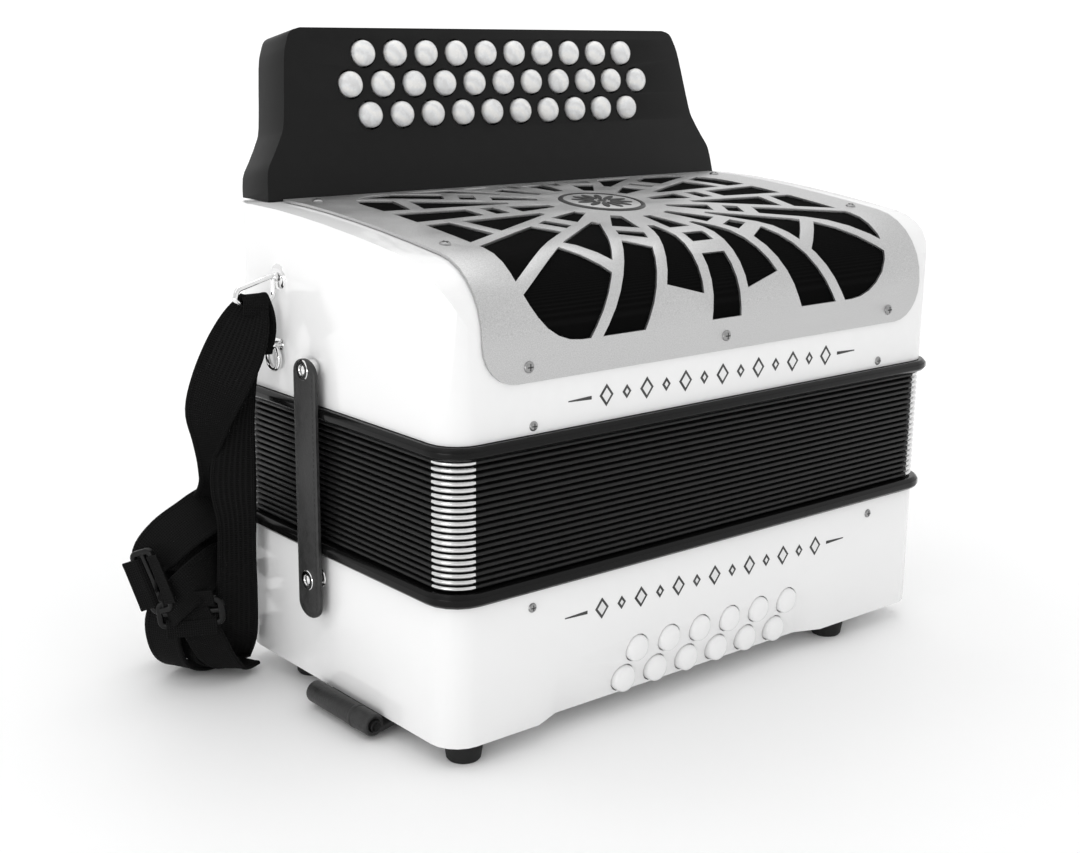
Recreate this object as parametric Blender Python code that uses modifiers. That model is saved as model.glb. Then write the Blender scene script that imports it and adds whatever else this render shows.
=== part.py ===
"""Three-row button accordion standing on its bass end.

X runs along the long side of the casings, Y from the grille front to the
fingerboard, Z up.  The constants are millimetres; a helper turns them into
metres where a piece is made.  The bass half stands on the floor, the treble
half slides up on it, and every key of the treble side is a lever that turns
on one axle line.
"""
import math

import bmesh
import bpy
import numpy as np
from mathutils import Matrix, Vector
from mathutils.geometry import interpolate_bezier

MM = 0.001
GAP = 0.3
WELD = 2e-6
QUARTER = math.pi / 2
SMOOTH_ANGLE = math.radians(35)

# casings
WIDTH = 310.0
DEPTH = 171.0
CORNER_RADIUS = 14.0
WALL = 5.0
HALF_WIDTH = WIDTH / 2
HALF_DEPTH = DEPTH / 2

# levels, bottom to top
BASE_BOTTOM = 9.3
BASE_TOP = 12.0
BASS_FRAME_BOTTOM = 72.6
BASS_FRAME_TOP = 78.7
TREBLE_FRAME_BOTTOM = 135.6
TREBLE_FRAME_TOP = 141.1
BOARD_BASE_Z = 225.9
FRAME_LIP = 3.6
FRAME_EDGE = 1.6

# bellows
FOLD_COUNT = 20
FOLD_DEPTH = 3.0
BELLOWS_WALL = 8.0

# roof of the treble casing: a soft fall to the front, then a round edge
ROOF_BACK_Y = 60.0
ROOF_BACK_Z = 225.6
ROOF_MID_RUN = 61.0
ROOF_MID_DROP = 3.7
ROOF_POWER = 1.6
ROOF_EDGE_RADIUS = 32.0
ROOF_EDGE_START = 0.14
ROOF_STEPS = 6
ROOF_EDGE_STEPS = 7

# grille
GRILLE_LIFT = 0.3
GRILLE_THICKNESS = 1.2
GRILLE_HALF_WIDTH = 139.5
GRILLE_BACK_Y = 64.0
GRILLE_BOTTOM_Z = 164.0
GRILLE_CORNER = 18.0
GRILLE_CORNER_STEPS = 6
SUN_CENTRE_Y = -0.5
SUN_HALF_WIDTH = 117.0
SUN_BACK_REACH = 59.0
SUN_FRONT_Z = 178.8
SUN_CORNER = 30.0
SUN_CORNER_STEPS = 7
SUN_SPOKES = 12
BAR_WIDTH = 5.5
LANE_MIN_WIDTH = 1.6
STEEP_LANE = 0.3
SMALLEST_OPENING = 25.0
LANE_RADII = (32.0, 54.0, 71.0, 117.0, 190.0)
LANE_WIDTHS = (5.4, 13.0, 13.4, 20.5, 31.0)
MAIN_RINGS = ((32.0, 55.0), (62.5, 70.5), (78.0, 190.0))
BETWEEN_RINGS = ((50.0, 97.0), (104.0, 190.0))

# openings of the treble casing
SOUND_HALF_WIDTH = 122.0
SOUND_WINDOW = ((58.0, 190.0), (58.0, 260.0), (-110.0, 260.0),
                (-110.0, 176.0), (-70.0, 176.0), (-70.0, 190.0))
SLOT_HALF_WIDTH = 106.0
SLOT_FRONT_Y = 71.0

# fingerboard, measured along its own slope
BOARD_FRONT_Y = 66.8
BOARD_FRONT_Z = 226.0
BOARD_TILT = math.radians(11.4)
BOARD_THICKNESS = 24.0
BOARD_PLATE = 3.0
BOARD_WALL = 4.0
BOARD_BACK_PLATE = 2.2
BOARD_OUTLINE = ((145.5, -12.0), (145.5, 1.0), (143.9, 13.6), (139.5, 21.2), (134.8, 29.3),
                 (131.9, 37.1), (127.8, 64.6), (125.4, 72.9), (122.5, 78.0), (117.0, 79.8))
BOARD_OUTLINE_STEPS = 3

# treble keys
KEY_PITCH = 18.6
ROW_STEP = 14.73
MIDDLE_ROW_RUN = 52.96
KEY_ROWS = ((10, -1, 42.0), (11, 0, 18.0), (10, 1, -6.0))
BUTTON_RADIUS = 6.2
BUTTON_HOLE_RADIUS = 7.2
BUTTON_SIDES = 12
BUTTON_FOOT = 5.5
BUTTON_PROFILE = ((0.0, 4.1), (4.4, 3.5), (BUTTON_RADIUS, 1.6),
                  (BUTTON_RADIUS, -BUTTON_FOOT), (0.0, -BUTTON_FOOT))
STEM_HALF = 1.5
LEVER_DEPTH = 10.9
LEVER_SIZE = 2.2
LEVER_OFFSET = 3.1
PIVOT_RUN = -14.3
PALLET_LENGTH = 14.0
PALLET_WIDTH = 10.0
PALLET_BOTTOM = 148.4
PALLET_TOP = 152.0

# reed boards
TREBLE_BOARD_BOTTOM = 143.5
TREBLE_BOARD_TOP = 148.0
TREBLE_BLOCK_BOTTOM = 112.0
BASS_BOARD_BOTTOM = 62.0
BASS_BOARD_TOP = 66.5
BASS_BLOCK_TOP = 104.0
REED_BOARD_SIZE = (149.4, 79.9)
BLOCK_DEPTH = 16.0
TREBLE_BLOCK_HALF = 112.0
BASS_BLOCK_HALF = 80.0
BASS_BLOCK_Y = 30.0
CHAMBER_DEPTH = 14.0
CHAMBER_HALF_X = 3.2
CHAMBER_HALF_Y = 4.5

# bass buttons
BASS_COLUMNS = 6
BASS_PITCH = 20.2
BASS_ROWS = ((2.0, 30.8), (-4.0, 16.8))
BASS_BUTTON_RADIUS = 6.3
BASS_HOLE_RADIUS = 6.9
BASS_BUTTON_PROUD = 2.6
BASS_STEM_RADIUS = 2.0
BASS_STEM_LENGTH = 18.0
SCOOP_TOP = 34.0
SCOOP_MIDDLE = -14.0
SCOOP_TOP_HALF = 81.0
SCOOP_FLARE = 12.0
SCOOP_RAMP = 14.0
SCOOP_INSET = 5.5
SCOOP_SHARE = 0.6
SCOOP_CLEARANCE = 1.0
LEDGE_TOP = 40.0
BASE_HALF_X = 146.0
BASE_HALF_Y = 73.0
AIR_BUTTON_PLACE = (-60.0, 40.0)
AIR_BUTTON_PROUD = 3.4

# feet, straps, rings
FOOT_PLACES = ((-140.0, -74.5), (97.0, -74.5), (-140.0, 47.0), (97.0, 47.0))
FOOT_TOP_RADIUS = 8.5
FOOT_BOTTOM_RADIUS = 7.0
NECK_INWARD = (3.0, 6.0)
NECK_RADIUS = 3.6
HAND_STRAP_Y = -12.5
HAND_STRAP_WIDTH = 49.0
HAND_STRAP_BOTTOM = 3.6
HAND_STRAP_TOP = 7.2
HAND_ROLL_X = 161.4
HAND_ROLL_Z = 7.4
HAND_ROLL_RADIUS = 6.0
HAND_ROLL_PROUD = 2.0
CLOSER_Y = 14.5
CLOSER_WIDTH = 17.5
CLOSER_BOTTOM = 40.0
CLOSER_TOP = 165.0
CLOSER_PIVOT_Z = 157.9
CLOSER_BOSS_RADIUS = 4.5
CLOSER_INNER_X = 159.0
CLOSER_THICKNESS = 2.5
RING_Y = 44.0
RING_PIVOT_Z = 195.0
RING_OUTLINE = ((-157.6, 196.0), (-176.2, 191.0), (-177.4, 186.4), (-175.0, 185.0), (-160.5, 184.2),
                (-157.8, 186.6))
RING_WIRE = 1.3
RING_WIRE_STEPS = 1
SHOULDER_BAND = ((-161.5, 167.0), (-177.0, 146.0), (-189.0, 118.0), (-185.0, 98.0), (-176.0, 88.0),
                 (-190.0, 82.0), (-206.0, 74.0), (-212.0, 66.0), (-207.0, 58.0), (-190.0, 60.0),
                 (-178.0, 56.0), (-176.0, 49.0), (-186.0, 46.0), (-201.0, 44.0), (-207.0, 38.0),
                 (-207.0, 22.0), (-201.0, 12.0), (-188.0, 7.6), (-172.0, 6.8))
SHOULDER_Y = 53.0
SHOULDER_LEAN = math.radians(14.0)
SHOULDER_WIDTH = 34.0
SHOULDER_THICKNESS = 2.4

PALETTE = {
    'white': ((0.86, 0.86, 0.86), 0.16, 0.0),
    'black_gloss': ((0.012, 0.012, 0.013), 0.18, 0.0),
    'black_matte': ((0.02, 0.02, 0.021), 0.5, 0.0),
    'pearl': ((0.8, 0.81, 0.8), 0.14, 0.0),
    'silver': ((0.62, 0.62, 0.63), 0.36, 1.0),
    'folds': ((0.01, 0.01, 0.011), 0.45, 0.0),
    'spruce': ((0.52, 0.36, 0.2), 0.6, 0.0),
    'leather': ((0.02, 0.02, 0.02), 0.55, 0.0),
    'webbing': ((0.012, 0.012, 0.012), 0.8, 0.0),
    'chrome': ((0.8, 0.8, 0.8), 0.08, 1.0),
}


def millimetres(*coords):
    return Vector(coords) * MM


def make_collection(name):
    collection = bpy.data.collections.new(name)
    bpy.context.scene.collection.children.link(collection)
    return collection


def make_material(name):
    colour, roughness, metallic = PALETTE[name]
    found = bpy.data.materials.get(name)
    if found:
        return found
    material = bpy.data.materials.new(name)
    material.use_nodes = True
    shader = material.node_tree.nodes['Principled BSDF']
    shader.inputs['Base Color'].default_value = (*colour, 1.0)
    shader.inputs['Roughness'].default_value = roughness
    shader.inputs['Metallic'].default_value = metallic
    return material


def make_empty(name, parent=None, location=(0.0, 0.0, 0.0), turn=0.0):
    """Empty that carries a half of the instrument, or the slope of the fingerboard."""
    empty = bpy.data.objects.new(name, None)
    empty.location = millimetres(*location)
    empty.rotation_euler.x = turn
    empty.parent = parent
    model.objects.link(empty)
    return empty


def new_object(name, mesh):
    obj = bpy.data.objects.new(name, mesh)
    cutters.objects.link(obj)
    return obj


def weld(mesh):
    """Close the loose caps of a converted curve and turn all faces outward."""
    work = bmesh.new()
    work.from_mesh(mesh)
    bmesh.ops.remove_doubles(work, verts=work.verts, dist=WELD)
    bmesh.ops.dissolve_degenerate(work, edges=work.edges, dist=WELD)
    bmesh.ops.recalc_face_normals(work, faces=work.faces)
    work.to_mesh(mesh)
    work.free()


def evaluated_mesh(obj):
    bpy.context.view_layer.update()
    return bpy.data.meshes.new_from_object(obj.evaluated_get(bpy.context.evaluated_depsgraph_get()))


def apply_modifiers(obj):
    mesh = evaluated_mesh(obj)
    obj.modifiers.clear()
    obj.data = mesh
    weld(mesh)
    return obj


def curve_to_object(name, curve):
    """Mesh object of a filled or bevelled curve."""
    source = new_object(name, curve)
    mesh = evaluated_mesh(source)
    mesh.name = name
    bpy.data.objects.remove(source, do_unlink=True)
    weld(mesh)
    return new_object(name, mesh)


def closed_spline(curve, outline):
    spline = curve.splines.new('POLY')
    spline.points.add(len(outline) - 1)
    for point, (u, v) in zip(spline.points, outline):
        point.co = (u * MM, v * MM, 0.0, 1.0)
    spline.use_cyclic_u = True


def plate(name, outline, axis, low, high, holes=()):
    """Flat outline with thickness along X, Y or Z; the outline lists the other two in order."""
    curve = bpy.data.curves.new(name, 'CURVE')
    curve.dimensions = '2D'
    curve.fill_mode = 'BOTH'
    curve.extrude = (high - low) / 2 * MM
    closed_spline(curve, outline)
    for hole in holes:
        closed_spline(curve, hole)
    obj = curve_to_object(name, curve)
    along = 'XYZ'.index(axis)
    obj.location[along] = (low + high) / 2 * MM
    obj.rotation_euler = {'X': (QUARTER, 0.0, QUARTER), 'Y': (QUARTER, 0.0, 0.0), 'Z': (0.0, 0.0, 0.0)}[axis]
    return obj


def block(name, low, high):
    mesh = bpy.data.meshes.new(name)
    work = bmesh.new()
    bmesh.ops.create_cube(work, size=1.0)
    size = [(b - a) * MM for a, b in zip(low, high)]
    bmesh.ops.scale(work, vec=size, verts=work.verts)
    work.to_mesh(mesh)
    work.free()
    obj = new_object(name, mesh)
    obj.location = [(a + b) / 2 * MM for a, b in zip(low, high)]
    return obj


def hull(name, points):
    """Smallest convex solid round the points, in millimetres."""
    mesh = bpy.data.meshes.new(name)
    work = bmesh.new()
    corners = [work.verts.new(millimetres(*point)) for point in points]
    bmesh.ops.convex_hull(work, input=corners)
    work.to_mesh(mesh)
    work.free()
    weld(mesh)
    return new_object(name, mesh)


def turned(name, profile, steps, location, turn=0.0):
    """Round piece from (radius, height) points, listed top to bottom, about its own Z."""
    mesh = bpy.data.meshes.new(name)
    work = bmesh.new()
    verts = [work.verts.new((radius * MM, 0.0, height * MM)) for radius, height in profile]
    for first, second in zip(verts, verts[1:]):
        work.edges.new((first, second))
    work.to_mesh(mesh)
    work.free()
    obj = new_object(name, mesh)
    screw = obj.modifiers.new('turn', 'SCREW')
    screw.steps = steps
    screw.render_steps = steps
    screw.use_merge_vertices = True
    screw.merge_threshold = WELD
    obj.location = millimetres(*location)
    obj.rotation_euler.x = turn
    return obj


def rounded_rectangle(half_x, half_y, radius, steps):
    points = []
    for quarter, (sx, sy) in enumerate(((1, 1), (-1, 1), (-1, -1), (1, -1))):
        for i in range(steps + 1):
            angle = QUARTER * (quarter + i / steps)
            points.append((sx * (half_x - radius) + radius * math.cos(angle),
                           sy * (half_y - radius) + radius * math.sin(angle)))
    return points


def circle(centre, radius, steps):
    return [(centre[0] + radius * math.cos(2 * math.pi * i / steps),
             centre[1] + radius * math.sin(2 * math.pi * i / steps)) for i in range(steps)]


def swept(name, section, steps):
    """Section of (outward offset, z) points carried round the casing's outline."""
    profile = bpy.data.curves.new(name + '_section', 'CURVE')
    profile.dimensions = '2D'
    closed_spline(profile, [(-offset, z) for offset, z in section])
    profile_object = new_object(name + '_section', profile)
    path = bpy.data.curves.new(name, 'CURVE')
    path.dimensions = '2D'
    path.fill_mode = 'NONE'
    path.bevel_mode = 'OBJECT'
    path.bevel_object = profile_object
    closed_spline(path, rounded_rectangle(HALF_WIDTH, HALF_DEPTH, CORNER_RADIUS, steps))
    obj = curve_to_object(name, path)
    bpy.data.objects.remove(profile_object, do_unlink=True)
    return obj


def boolean(target, other, operation):
    """Exact Boolean of two solids; the second one becomes a hidden cutter."""
    modifier = target.modifiers.new(other.name, 'BOOLEAN')
    modifier.operation = operation
    modifier.solver = 'EXACT'
    modifier.object = other
    other.hide_render = True
    other.display_type = 'WIRE'
    return target


def cut(target, cutter):
    return boolean(target, cutter, 'DIFFERENCE')


def join(target, other):
    return boolean(target, other, 'UNION')


def merged(name, objects):
    """One cutter from pieces that don't touch each other."""
    work = bmesh.new()
    for obj in objects:
        mesh = evaluated_mesh(obj)
        mesh.transform(obj.matrix_world)
        work.from_mesh(mesh)
        bpy.data.objects.remove(obj, do_unlink=True)
    mesh = bpy.data.meshes.new(name)
    work.to_mesh(mesh)
    work.free()
    return new_object(name, mesh)


def add_part(obj, name, parent, material, pivot=None):
    """Give a finished solid its name, parent, material, origin and smooth shading."""
    apply_modifiers(obj)
    obj.name = name
    obj.data.name = name
    if pivot is not None:
        bpy.context.view_layer.update()
        origin = millimetres(*pivot)
        obj.data.transform(Matrix.Translation(-origin) @ obj.matrix_world)
        obj.matrix_world = Matrix.Translation(origin)
    obj.data.materials.clear()
    obj.data.materials.append(make_material(material))
    obj.data.shade_smooth()
    obj.data.set_sharp_from_angle(angle=SMOOTH_ANGLE)
    cutters.objects.unlink(obj)
    model.objects.link(obj)
    obj.parent = parent
    return obj


# ---- roof line shared by the treble casing and the grille ----

def roof_height(y):
    return ROOF_BACK_Z - ROOF_MID_DROP * (max(ROOF_BACK_Y - y, 0.0) / ROOF_MID_RUN) ** ROOF_POWER


def roof_line():
    """(y, z) points of the casing from the board base over the round edge to the grille's foot."""
    centre_y = -HALF_DEPTH + ROOF_EDGE_RADIUS
    start_y = centre_y - ROOF_EDGE_RADIUS * ROOF_EDGE_START
    angle = math.asin(ROOF_EDGE_START)
    centre_z = roof_height(start_y) - ROOF_EDGE_RADIUS * math.cos(angle)
    points = [(y, roof_height(y)) for y in np.linspace(GRILLE_BACK_Y, start_y, ROOF_STEPS, endpoint=False)]
    for turn in np.linspace(angle, QUARTER, ROOF_EDGE_STEPS + 1):
        points.append((centre_y - ROOF_EDGE_RADIUS * math.sin(turn),
                       centre_z + ROOF_EDGE_RADIUS * math.cos(turn)))
    points.append((-HALF_DEPTH, GRILLE_BOTTOM_Z))
    return np.array(points)


def roof_runs(line):
    """Distance travelled along the roof line at each of its points."""
    return np.concatenate(([0.0], np.cumsum(np.hypot(*np.diff(line, axis=0).T))))


def roof_outward(line):
    """Mitred outward direction at each point, so that an offset keeps its distance."""
    steps = np.diff(line, axis=0)
    normals = np.stack((steps[:, 1], -steps[:, 0]), axis=1) / np.hypot(*steps.T)[:, None]
    before = np.vstack((normals[:1], normals))
    after = np.vstack((normals, normals[-1:]))
    middle = before + after
    return middle / np.sum(middle * before, axis=1)[:, None]


# ---- grille ----

def clip(polygon, boundary):
    """Part of a convex polygon inside a convex counter-clockwise boundary."""
    points = list(polygon)
    for start, end in zip(boundary, boundary[1:] + boundary[:1]):
        def inside(p):
            return (end[0] - start[0]) * (p[1] - start[1]) - (end[1] - start[1]) * (p[0] - start[0])
        kept = []
        for p, q in zip(points, points[1:] + points[:1]):
            side_p, side_q = inside(p), inside(q)
            if side_p >= 0:
                kept.append(p)
            if side_p * side_q < 0:
                t = side_p / (side_p - side_q)
                kept.append((p[0] + t * (q[0] - p[0]), p[1] + t * (q[1] - p[1])))
        points = kept
    return points


def area(polygon):
    return sum(p[0] * q[1] - p[1] * q[0] for p, q in zip(polygon, polygon[1:] + polygon[:1])) / 2


def lane_width(radius, between):
    """Main lanes widen by the table; the lanes between them take what the bars leave."""
    width = float(np.interp(radius, LANE_RADII, LANE_WIDTHS))
    if between:
        width = 2 * math.pi * radius / SUN_SPOKES - width - 2 * BAR_WIDTH
    return max(width, LANE_MIN_WIDTH)


def sun_pieces(centre, window):
    """Openings of the sunburst: each lane is cut into rings and ends at the window."""
    pieces = []
    for lane in range(2 * SUN_SPOKES):
        direction = math.pi * lane / SUN_SPOKES
        between = lane % 2 == 1
        rings = BETWEEN_RINGS if between else MAIN_RINGS
        if between and abs(math.cos(direction)) < STEEP_LANE:
            rings = rings[:1]
        for radii in rings:
            polygon = []
            for side, ends in ((-1, radii), (1, radii[::-1])):
                for radius in ends:
                    angle = direction + side * lane_width(radius, between) / 2 / radius
                    polygon.append((centre[0] + radius * math.cos(angle),
                                    centre[1] + radius * math.sin(angle)))
            piece = clip(polygon, window)
            if len(piece) > 2 and area(piece) > SMALLEST_OPENING:
                pieces.append(piece)
    return pieces


def grille_outline(length):
    """Plate laid flat: square at the board, round at the two front corners."""
    half = []
    for i in range(GRILLE_CORNER_STEPS + 1):
        turn = QUARTER * i / GRILLE_CORNER_STEPS
        half.append((GRILLE_HALF_WIDTH - GRILLE_CORNER * (1 - math.cos(turn)),
                     length - GRILLE_CORNER * (1 - math.sin(turn))))
    half.insert(0, (GRILLE_HALF_WIDTH, 0.0))
    return mirrored(half)


def make_grille(line):
    """Pierced flat plate, scored along the roof's steps and bent over the roof."""
    runs = roof_runs(line)
    outward = roof_outward(line)
    length = runs[-1]
    centre_run = float(np.interp(-SUN_CENTRE_Y, -line[:, 0], runs))
    front_run = length - (SUN_FRONT_Z - GRILLE_BOTTOM_Z)
    back_run = centre_run - SUN_BACK_REACH
    middle = (front_run + back_run) / 2
    window = [(x, run + middle) for x, run in
              rounded_rectangle(SUN_HALF_WIDTH, (front_run - back_run) / 2, SUN_CORNER, SUN_CORNER_STEPS)]
    grille = plate('grille', grille_outline(length), 'Z', 0.0, GRILLE_THICKNESS,
                   holes=sun_pieces((0.0, centre_run), window))
    half = GRILLE_THICKNESS / 2
    work = bmesh.new()
    work.from_mesh(grille.data)
    for run in runs[1:-1]:
        everything = work.verts[:] + work.edges[:] + work.faces[:]
        bmesh.ops.bisect_plane(work, geom=everything, dist=WELD, plane_co=(0, run * MM, 0),
                               plane_no=(0, 1, 0))
    for vertex in work.verts:
        x, run, height = vertex.co / MM
        bent = line + (height + half + GRILLE_LIFT) * outward
        vertex.co = millimetres(x, np.interp(run, runs, bent[:, 0]), np.interp(run, runs, bent[:, 1]))
    work.to_mesh(grille.data)
    work.free()
    grille.location.z = 0.0
    add_part(grille, 'grille', treble_half, 'silver')


# ---- treble casing and fingerboard ----

def casing_solid(name, line, inset, bottom):
    """Treble casing outline with every wall moved in by the inset."""
    profile = [(HALF_DEPTH - inset, bottom), (HALF_DEPTH - inset, ROOF_BACK_Z - inset)]
    profile += [(max(y, -HALF_DEPTH + inset), z - inset) for y, z in line]
    profile.append((-HALF_DEPTH + inset, bottom))
    solid = plate(name, profile, 'X', -HALF_WIDTH + inset, HALF_WIDTH - inset)
    footprint = rounded_rectangle(HALF_WIDTH - inset, HALF_DEPTH - inset, CORNER_RADIUS - inset, 5)
    column = plate(name + '_footprint', footprint, 'Z', bottom - 10, ROOF_BACK_Z + 20)
    return boolean(solid, column, 'INTERSECT')


def make_treble_casing(line):
    casing = casing_solid('treble_casing', line, 0.0, TREBLE_FRAME_TOP + GAP)
    cut(casing, casing_solid('treble_inside', line, WALL, TREBLE_FRAME_TOP - WALL))
    cut(casing, plate('sound_window', SOUND_WINDOW, 'X', -SOUND_HALF_WIDTH, SOUND_HALF_WIDTH))
    cut(casing, block('lever_slot', (-SLOT_HALF_WIDTH, SLOT_FRONT_Y, BOARD_BASE_Z - 14),
                      (SLOT_HALF_WIDTH, HALF_DEPTH - WALL, BOARD_BASE_Z + 14)))
    add_part(casing, 'treble_casing', treble_half, 'white')


def on_board(obj):
    """Stand a piece built as (x, run, height over the front) on the fingerboard's slope."""
    obj.parent = board_slope
    return obj


def mirrored(half):
    return list(half) + [(-x, run) for x, run in reversed(half)]


def smooth_run(points, steps):
    """Smooth line through points, with a few steps between each two of them."""
    points = [Vector(p) for p in points]
    ends = points[:1] + points + points[-1:]
    line = []
    for before, start, end, after in zip(ends, ends[1:], ends[2:], ends[3:]):
        leave = start + (end - before) / 6
        arrive = end - (after - start) / 6
        line += interpolate_bezier(start, leave, arrive, end, steps + 1)[:-1]
    return [tuple(p.to_2d()) for p in line + points[-1:]]


def board_outline(inset):
    """Fingerboard outline, moved in on the sides and at the top."""
    half = [BOARD_OUTLINE[0]] + smooth_run(BOARD_OUTLINE[1:], BOARD_OUTLINE_STEPS)
    top = half[-1][1] - inset
    return mirrored([(x - inset, min(run, top)) for x, run in half])


def key_run(row):
    return MIDDLE_ROW_RUN + row * ROW_STEP


def row_places(count):
    return [(i - (count - 1) / 2) * KEY_PITCH for i in range(count)]


def make_fingerboard():
    holes = [circle((x, key_run(row)), BUTTON_HOLE_RADIUS, BUTTON_SIDES)
             for count, row, _ in KEY_ROWS for x in row_places(count)]
    board = on_board(plate('fingerboard', board_outline(0.0), 'Z', -BOARD_THICKNESS, 0.0))
    cut(board, on_board(plate('board_hollow', board_outline(BOARD_WALL), 'Z',
                              -BOARD_THICKNESS - 5, -BOARD_PLATE)))
    cut(board, merged('button_holes', [on_board(plate('hole', hole, 'Z', -BOARD_PLATE - 2, 2.0))
                                       for hole in holes]))
    cover = on_board(plate('fingerboard_back', board_outline(BOARD_WALL + GAP), 'Z',
                           -BOARD_THICKNESS, -BOARD_THICKNESS + BOARD_BACK_PLATE))
    for piece in (board, cover):
        cut(piece, block('board_foot', (-HALF_WIDTH, 0.0, TREBLE_FRAME_TOP),
                         (HALF_WIDTH, HALF_DEPTH + 30, BOARD_BASE_Z)))
        add_part(piece, piece.name, board_slope, 'black_matte')


# ---- treble keys ----

def board_point(run, depth):
    """(y, z) at a run up the fingerboard slope and a depth behind its front."""
    return (BOARD_FRONT_Y + run * math.sin(BOARD_TILT) + depth * math.cos(BOARD_TILT),
            BOARD_FRONT_Z + run * math.cos(BOARD_TILT) - depth * math.sin(BOARD_TILT))


def lever_outline(path, half):
    """Bar of even width round a bent (y, z) path."""
    points = [Vector(p) for p in path]
    legs = [(b - a).normalized() for a, b in zip(points, points[1:])]
    left, right = [], []
    for i, point in enumerate(points):
        before = legs[max(i - 1, 0)]
        along = (before + legs[min(i, len(legs) - 1)]).normalized()
        side = Vector((-along.y, along.x)) * half / along.dot(before)
        left.append(tuple(point + side))
        right.append(tuple(point - side))
    return left + right[::-1]


def make_key_shape(row, pallet_y):
    """Button, stem, bent lever and pallet of one row, with its button at x = 0."""
    run = key_run(row)
    rod_x = row * LEVER_OFFSET
    half = LEVER_SIZE / 2
    path = (board_point(run + 2.0, LEVER_DEPTH), board_point(PIVOT_RUN, LEVER_DEPTH),
            (pallet_y, PALLET_TOP - 1.5))
    key = plate('key', lever_outline(path, half), 'X', rod_x - half, rod_x + half)
    join(key, on_board(turned('button', BUTTON_PROFILE, BUTTON_SIDES, (0.0, run, 0.0))))
    join(key, on_board(block('stem', (min(0.0, rod_x) - half, run - STEM_HALF, -LEVER_DEPTH),
                             (max(0.0, rod_x) + half, run + STEM_HALF, -BUTTON_FOOT + 1.5))))
    join(key, block('pallet', (rod_x - PALLET_WIDTH / 2, pallet_y - PALLET_LENGTH / 2, PALLET_BOTTOM),
                    (rod_x + PALLET_WIDTH / 2, pallet_y + PALLET_LENGTH / 2, PALLET_TOP)))
    pivot = Vector((rod_x, *board_point(PIVOT_RUN, LEVER_DEPTH)))
    return add_part(key, f'key_row_{row}', treble_half, 'pearl', pivot=pivot), pivot


def make_treble_keys():
    number = 1
    for count, row, pallet_y in KEY_ROWS:
        pattern, pivot = make_key_shape(row, pallet_y)
        for x in row_places(count):
            key = bpy.data.objects.new(f'treble_key_{number:02d}', pattern.data)
            key.location = (pivot + Vector((x, 0.0, 0.0))) * MM
            key.parent = treble_half
            model.objects.link(key)
            number += 1
        bpy.data.objects.remove(pattern, do_unlink=True)


# ---- reed boards, frames and bellows ----

def make_treble_reed_board():
    board = plate('treble_reed_board', rounded_rectangle(*REED_BOARD_SIZE, 8.0, 3), 'Z',
                  TREBLE_BOARD_BOTTOM, TREBLE_BOARD_TOP)
    chambers = []
    for count, row, pallet_y in KEY_ROWS:
        join(board, block('reed_block', (-TREBLE_BLOCK_HALF, pallet_y - BLOCK_DEPTH / 2, TREBLE_BLOCK_BOTTOM),
                          (TREBLE_BLOCK_HALF, pallet_y + BLOCK_DEPTH / 2, TREBLE_BOARD_BOTTOM + 1)))
        for x in row_places(count):
            middle = x + row * LEVER_OFFSET
            chambers.append(block('chamber',
                                  (middle - CHAMBER_HALF_X, pallet_y - CHAMBER_HALF_Y,
                                   TREBLE_BOARD_TOP - CHAMBER_DEPTH),
                                  (middle + CHAMBER_HALF_X, pallet_y + CHAMBER_HALF_Y, TREBLE_BOARD_TOP + 2)))
    cut(board, merged('chambers', chambers))
    add_part(board, 'treble_reed_board', treble_half, 'spruce')


def make_bass_reed_board():
    board = plate('bass_reed_board', rounded_rectangle(*REED_BOARD_SIZE, 8.0, 3), 'Z',
                  BASS_BOARD_BOTTOM, BASS_BOARD_TOP)
    for y in (-BASS_BLOCK_Y, BASS_BLOCK_Y):
        join(board, block('reed_block', (-BASS_BLOCK_HALF, y - BLOCK_DEPTH / 2, BASS_BOARD_TOP - 1),
                          (BASS_BLOCK_HALF, y + BLOCK_DEPTH / 2, BASS_BLOCK_TOP)))
    add_part(board, 'bass_reed_board', bass_half, 'spruce')


def make_frame(name, bottom, top, parent):
    """Bead-edged frame that the bellows' end is glued into."""
    section = ((FRAME_LIP - FRAME_EDGE, bottom), (FRAME_LIP, bottom + FRAME_EDGE),
               (FRAME_LIP, top - FRAME_EDGE), (FRAME_LIP - FRAME_EDGE, top), (-WALL, top), (-WALL, bottom))
    add_part(swept(name, section, 5), name, parent, 'black_gloss')


def make_bellows():
    bottom = BASS_FRAME_TOP + GAP
    top = TREBLE_FRAME_BOTTOM - GAP
    pitch = (top - bottom) / FOLD_COUNT
    section = [(-FOLD_DEPTH, bottom)]
    for fold in range(FOLD_COUNT):
        section.append((-GAP, bottom + (fold + 0.5) * pitch))
        section.append((-FOLD_DEPTH, bottom + (fold + 1) * pitch))
    section += [(-BELLOWS_WALL, top), (-BELLOWS_WALL, bottom)]
    add_part(swept('bellows', section, 2), 'bellows', bass_half, 'folds')


# ---- bass side ----

def scoop():
    """Finger relief along the front bottom edge under the bass buttons, flared and ramped at both ends."""
    height = SCOOP_TOP - BASE_BOTTOM
    corners = []
    for depth in (-SCOOP_CLEARANCE, SCOOP_INSET):
        top = SCOOP_TOP - depth / SCOOP_INSET * height
        for z in (0.0, top):
            half = SCOOP_TOP_HALF + SCOOP_FLARE * (SCOOP_TOP - z) / height - SCOOP_RAMP * depth / SCOOP_INSET
            corners += [(SCOOP_MIDDLE + sign * half, depth - HALF_DEPTH, z) for sign in (-1, 1)]
    return hull('scoop', corners)


def bass_places():
    return [((i - (BASS_COLUMNS - 1) / 2) * BASS_PITCH + shift, z)
            for shift, z in BASS_ROWS for i in range(BASS_COLUMNS)]


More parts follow.
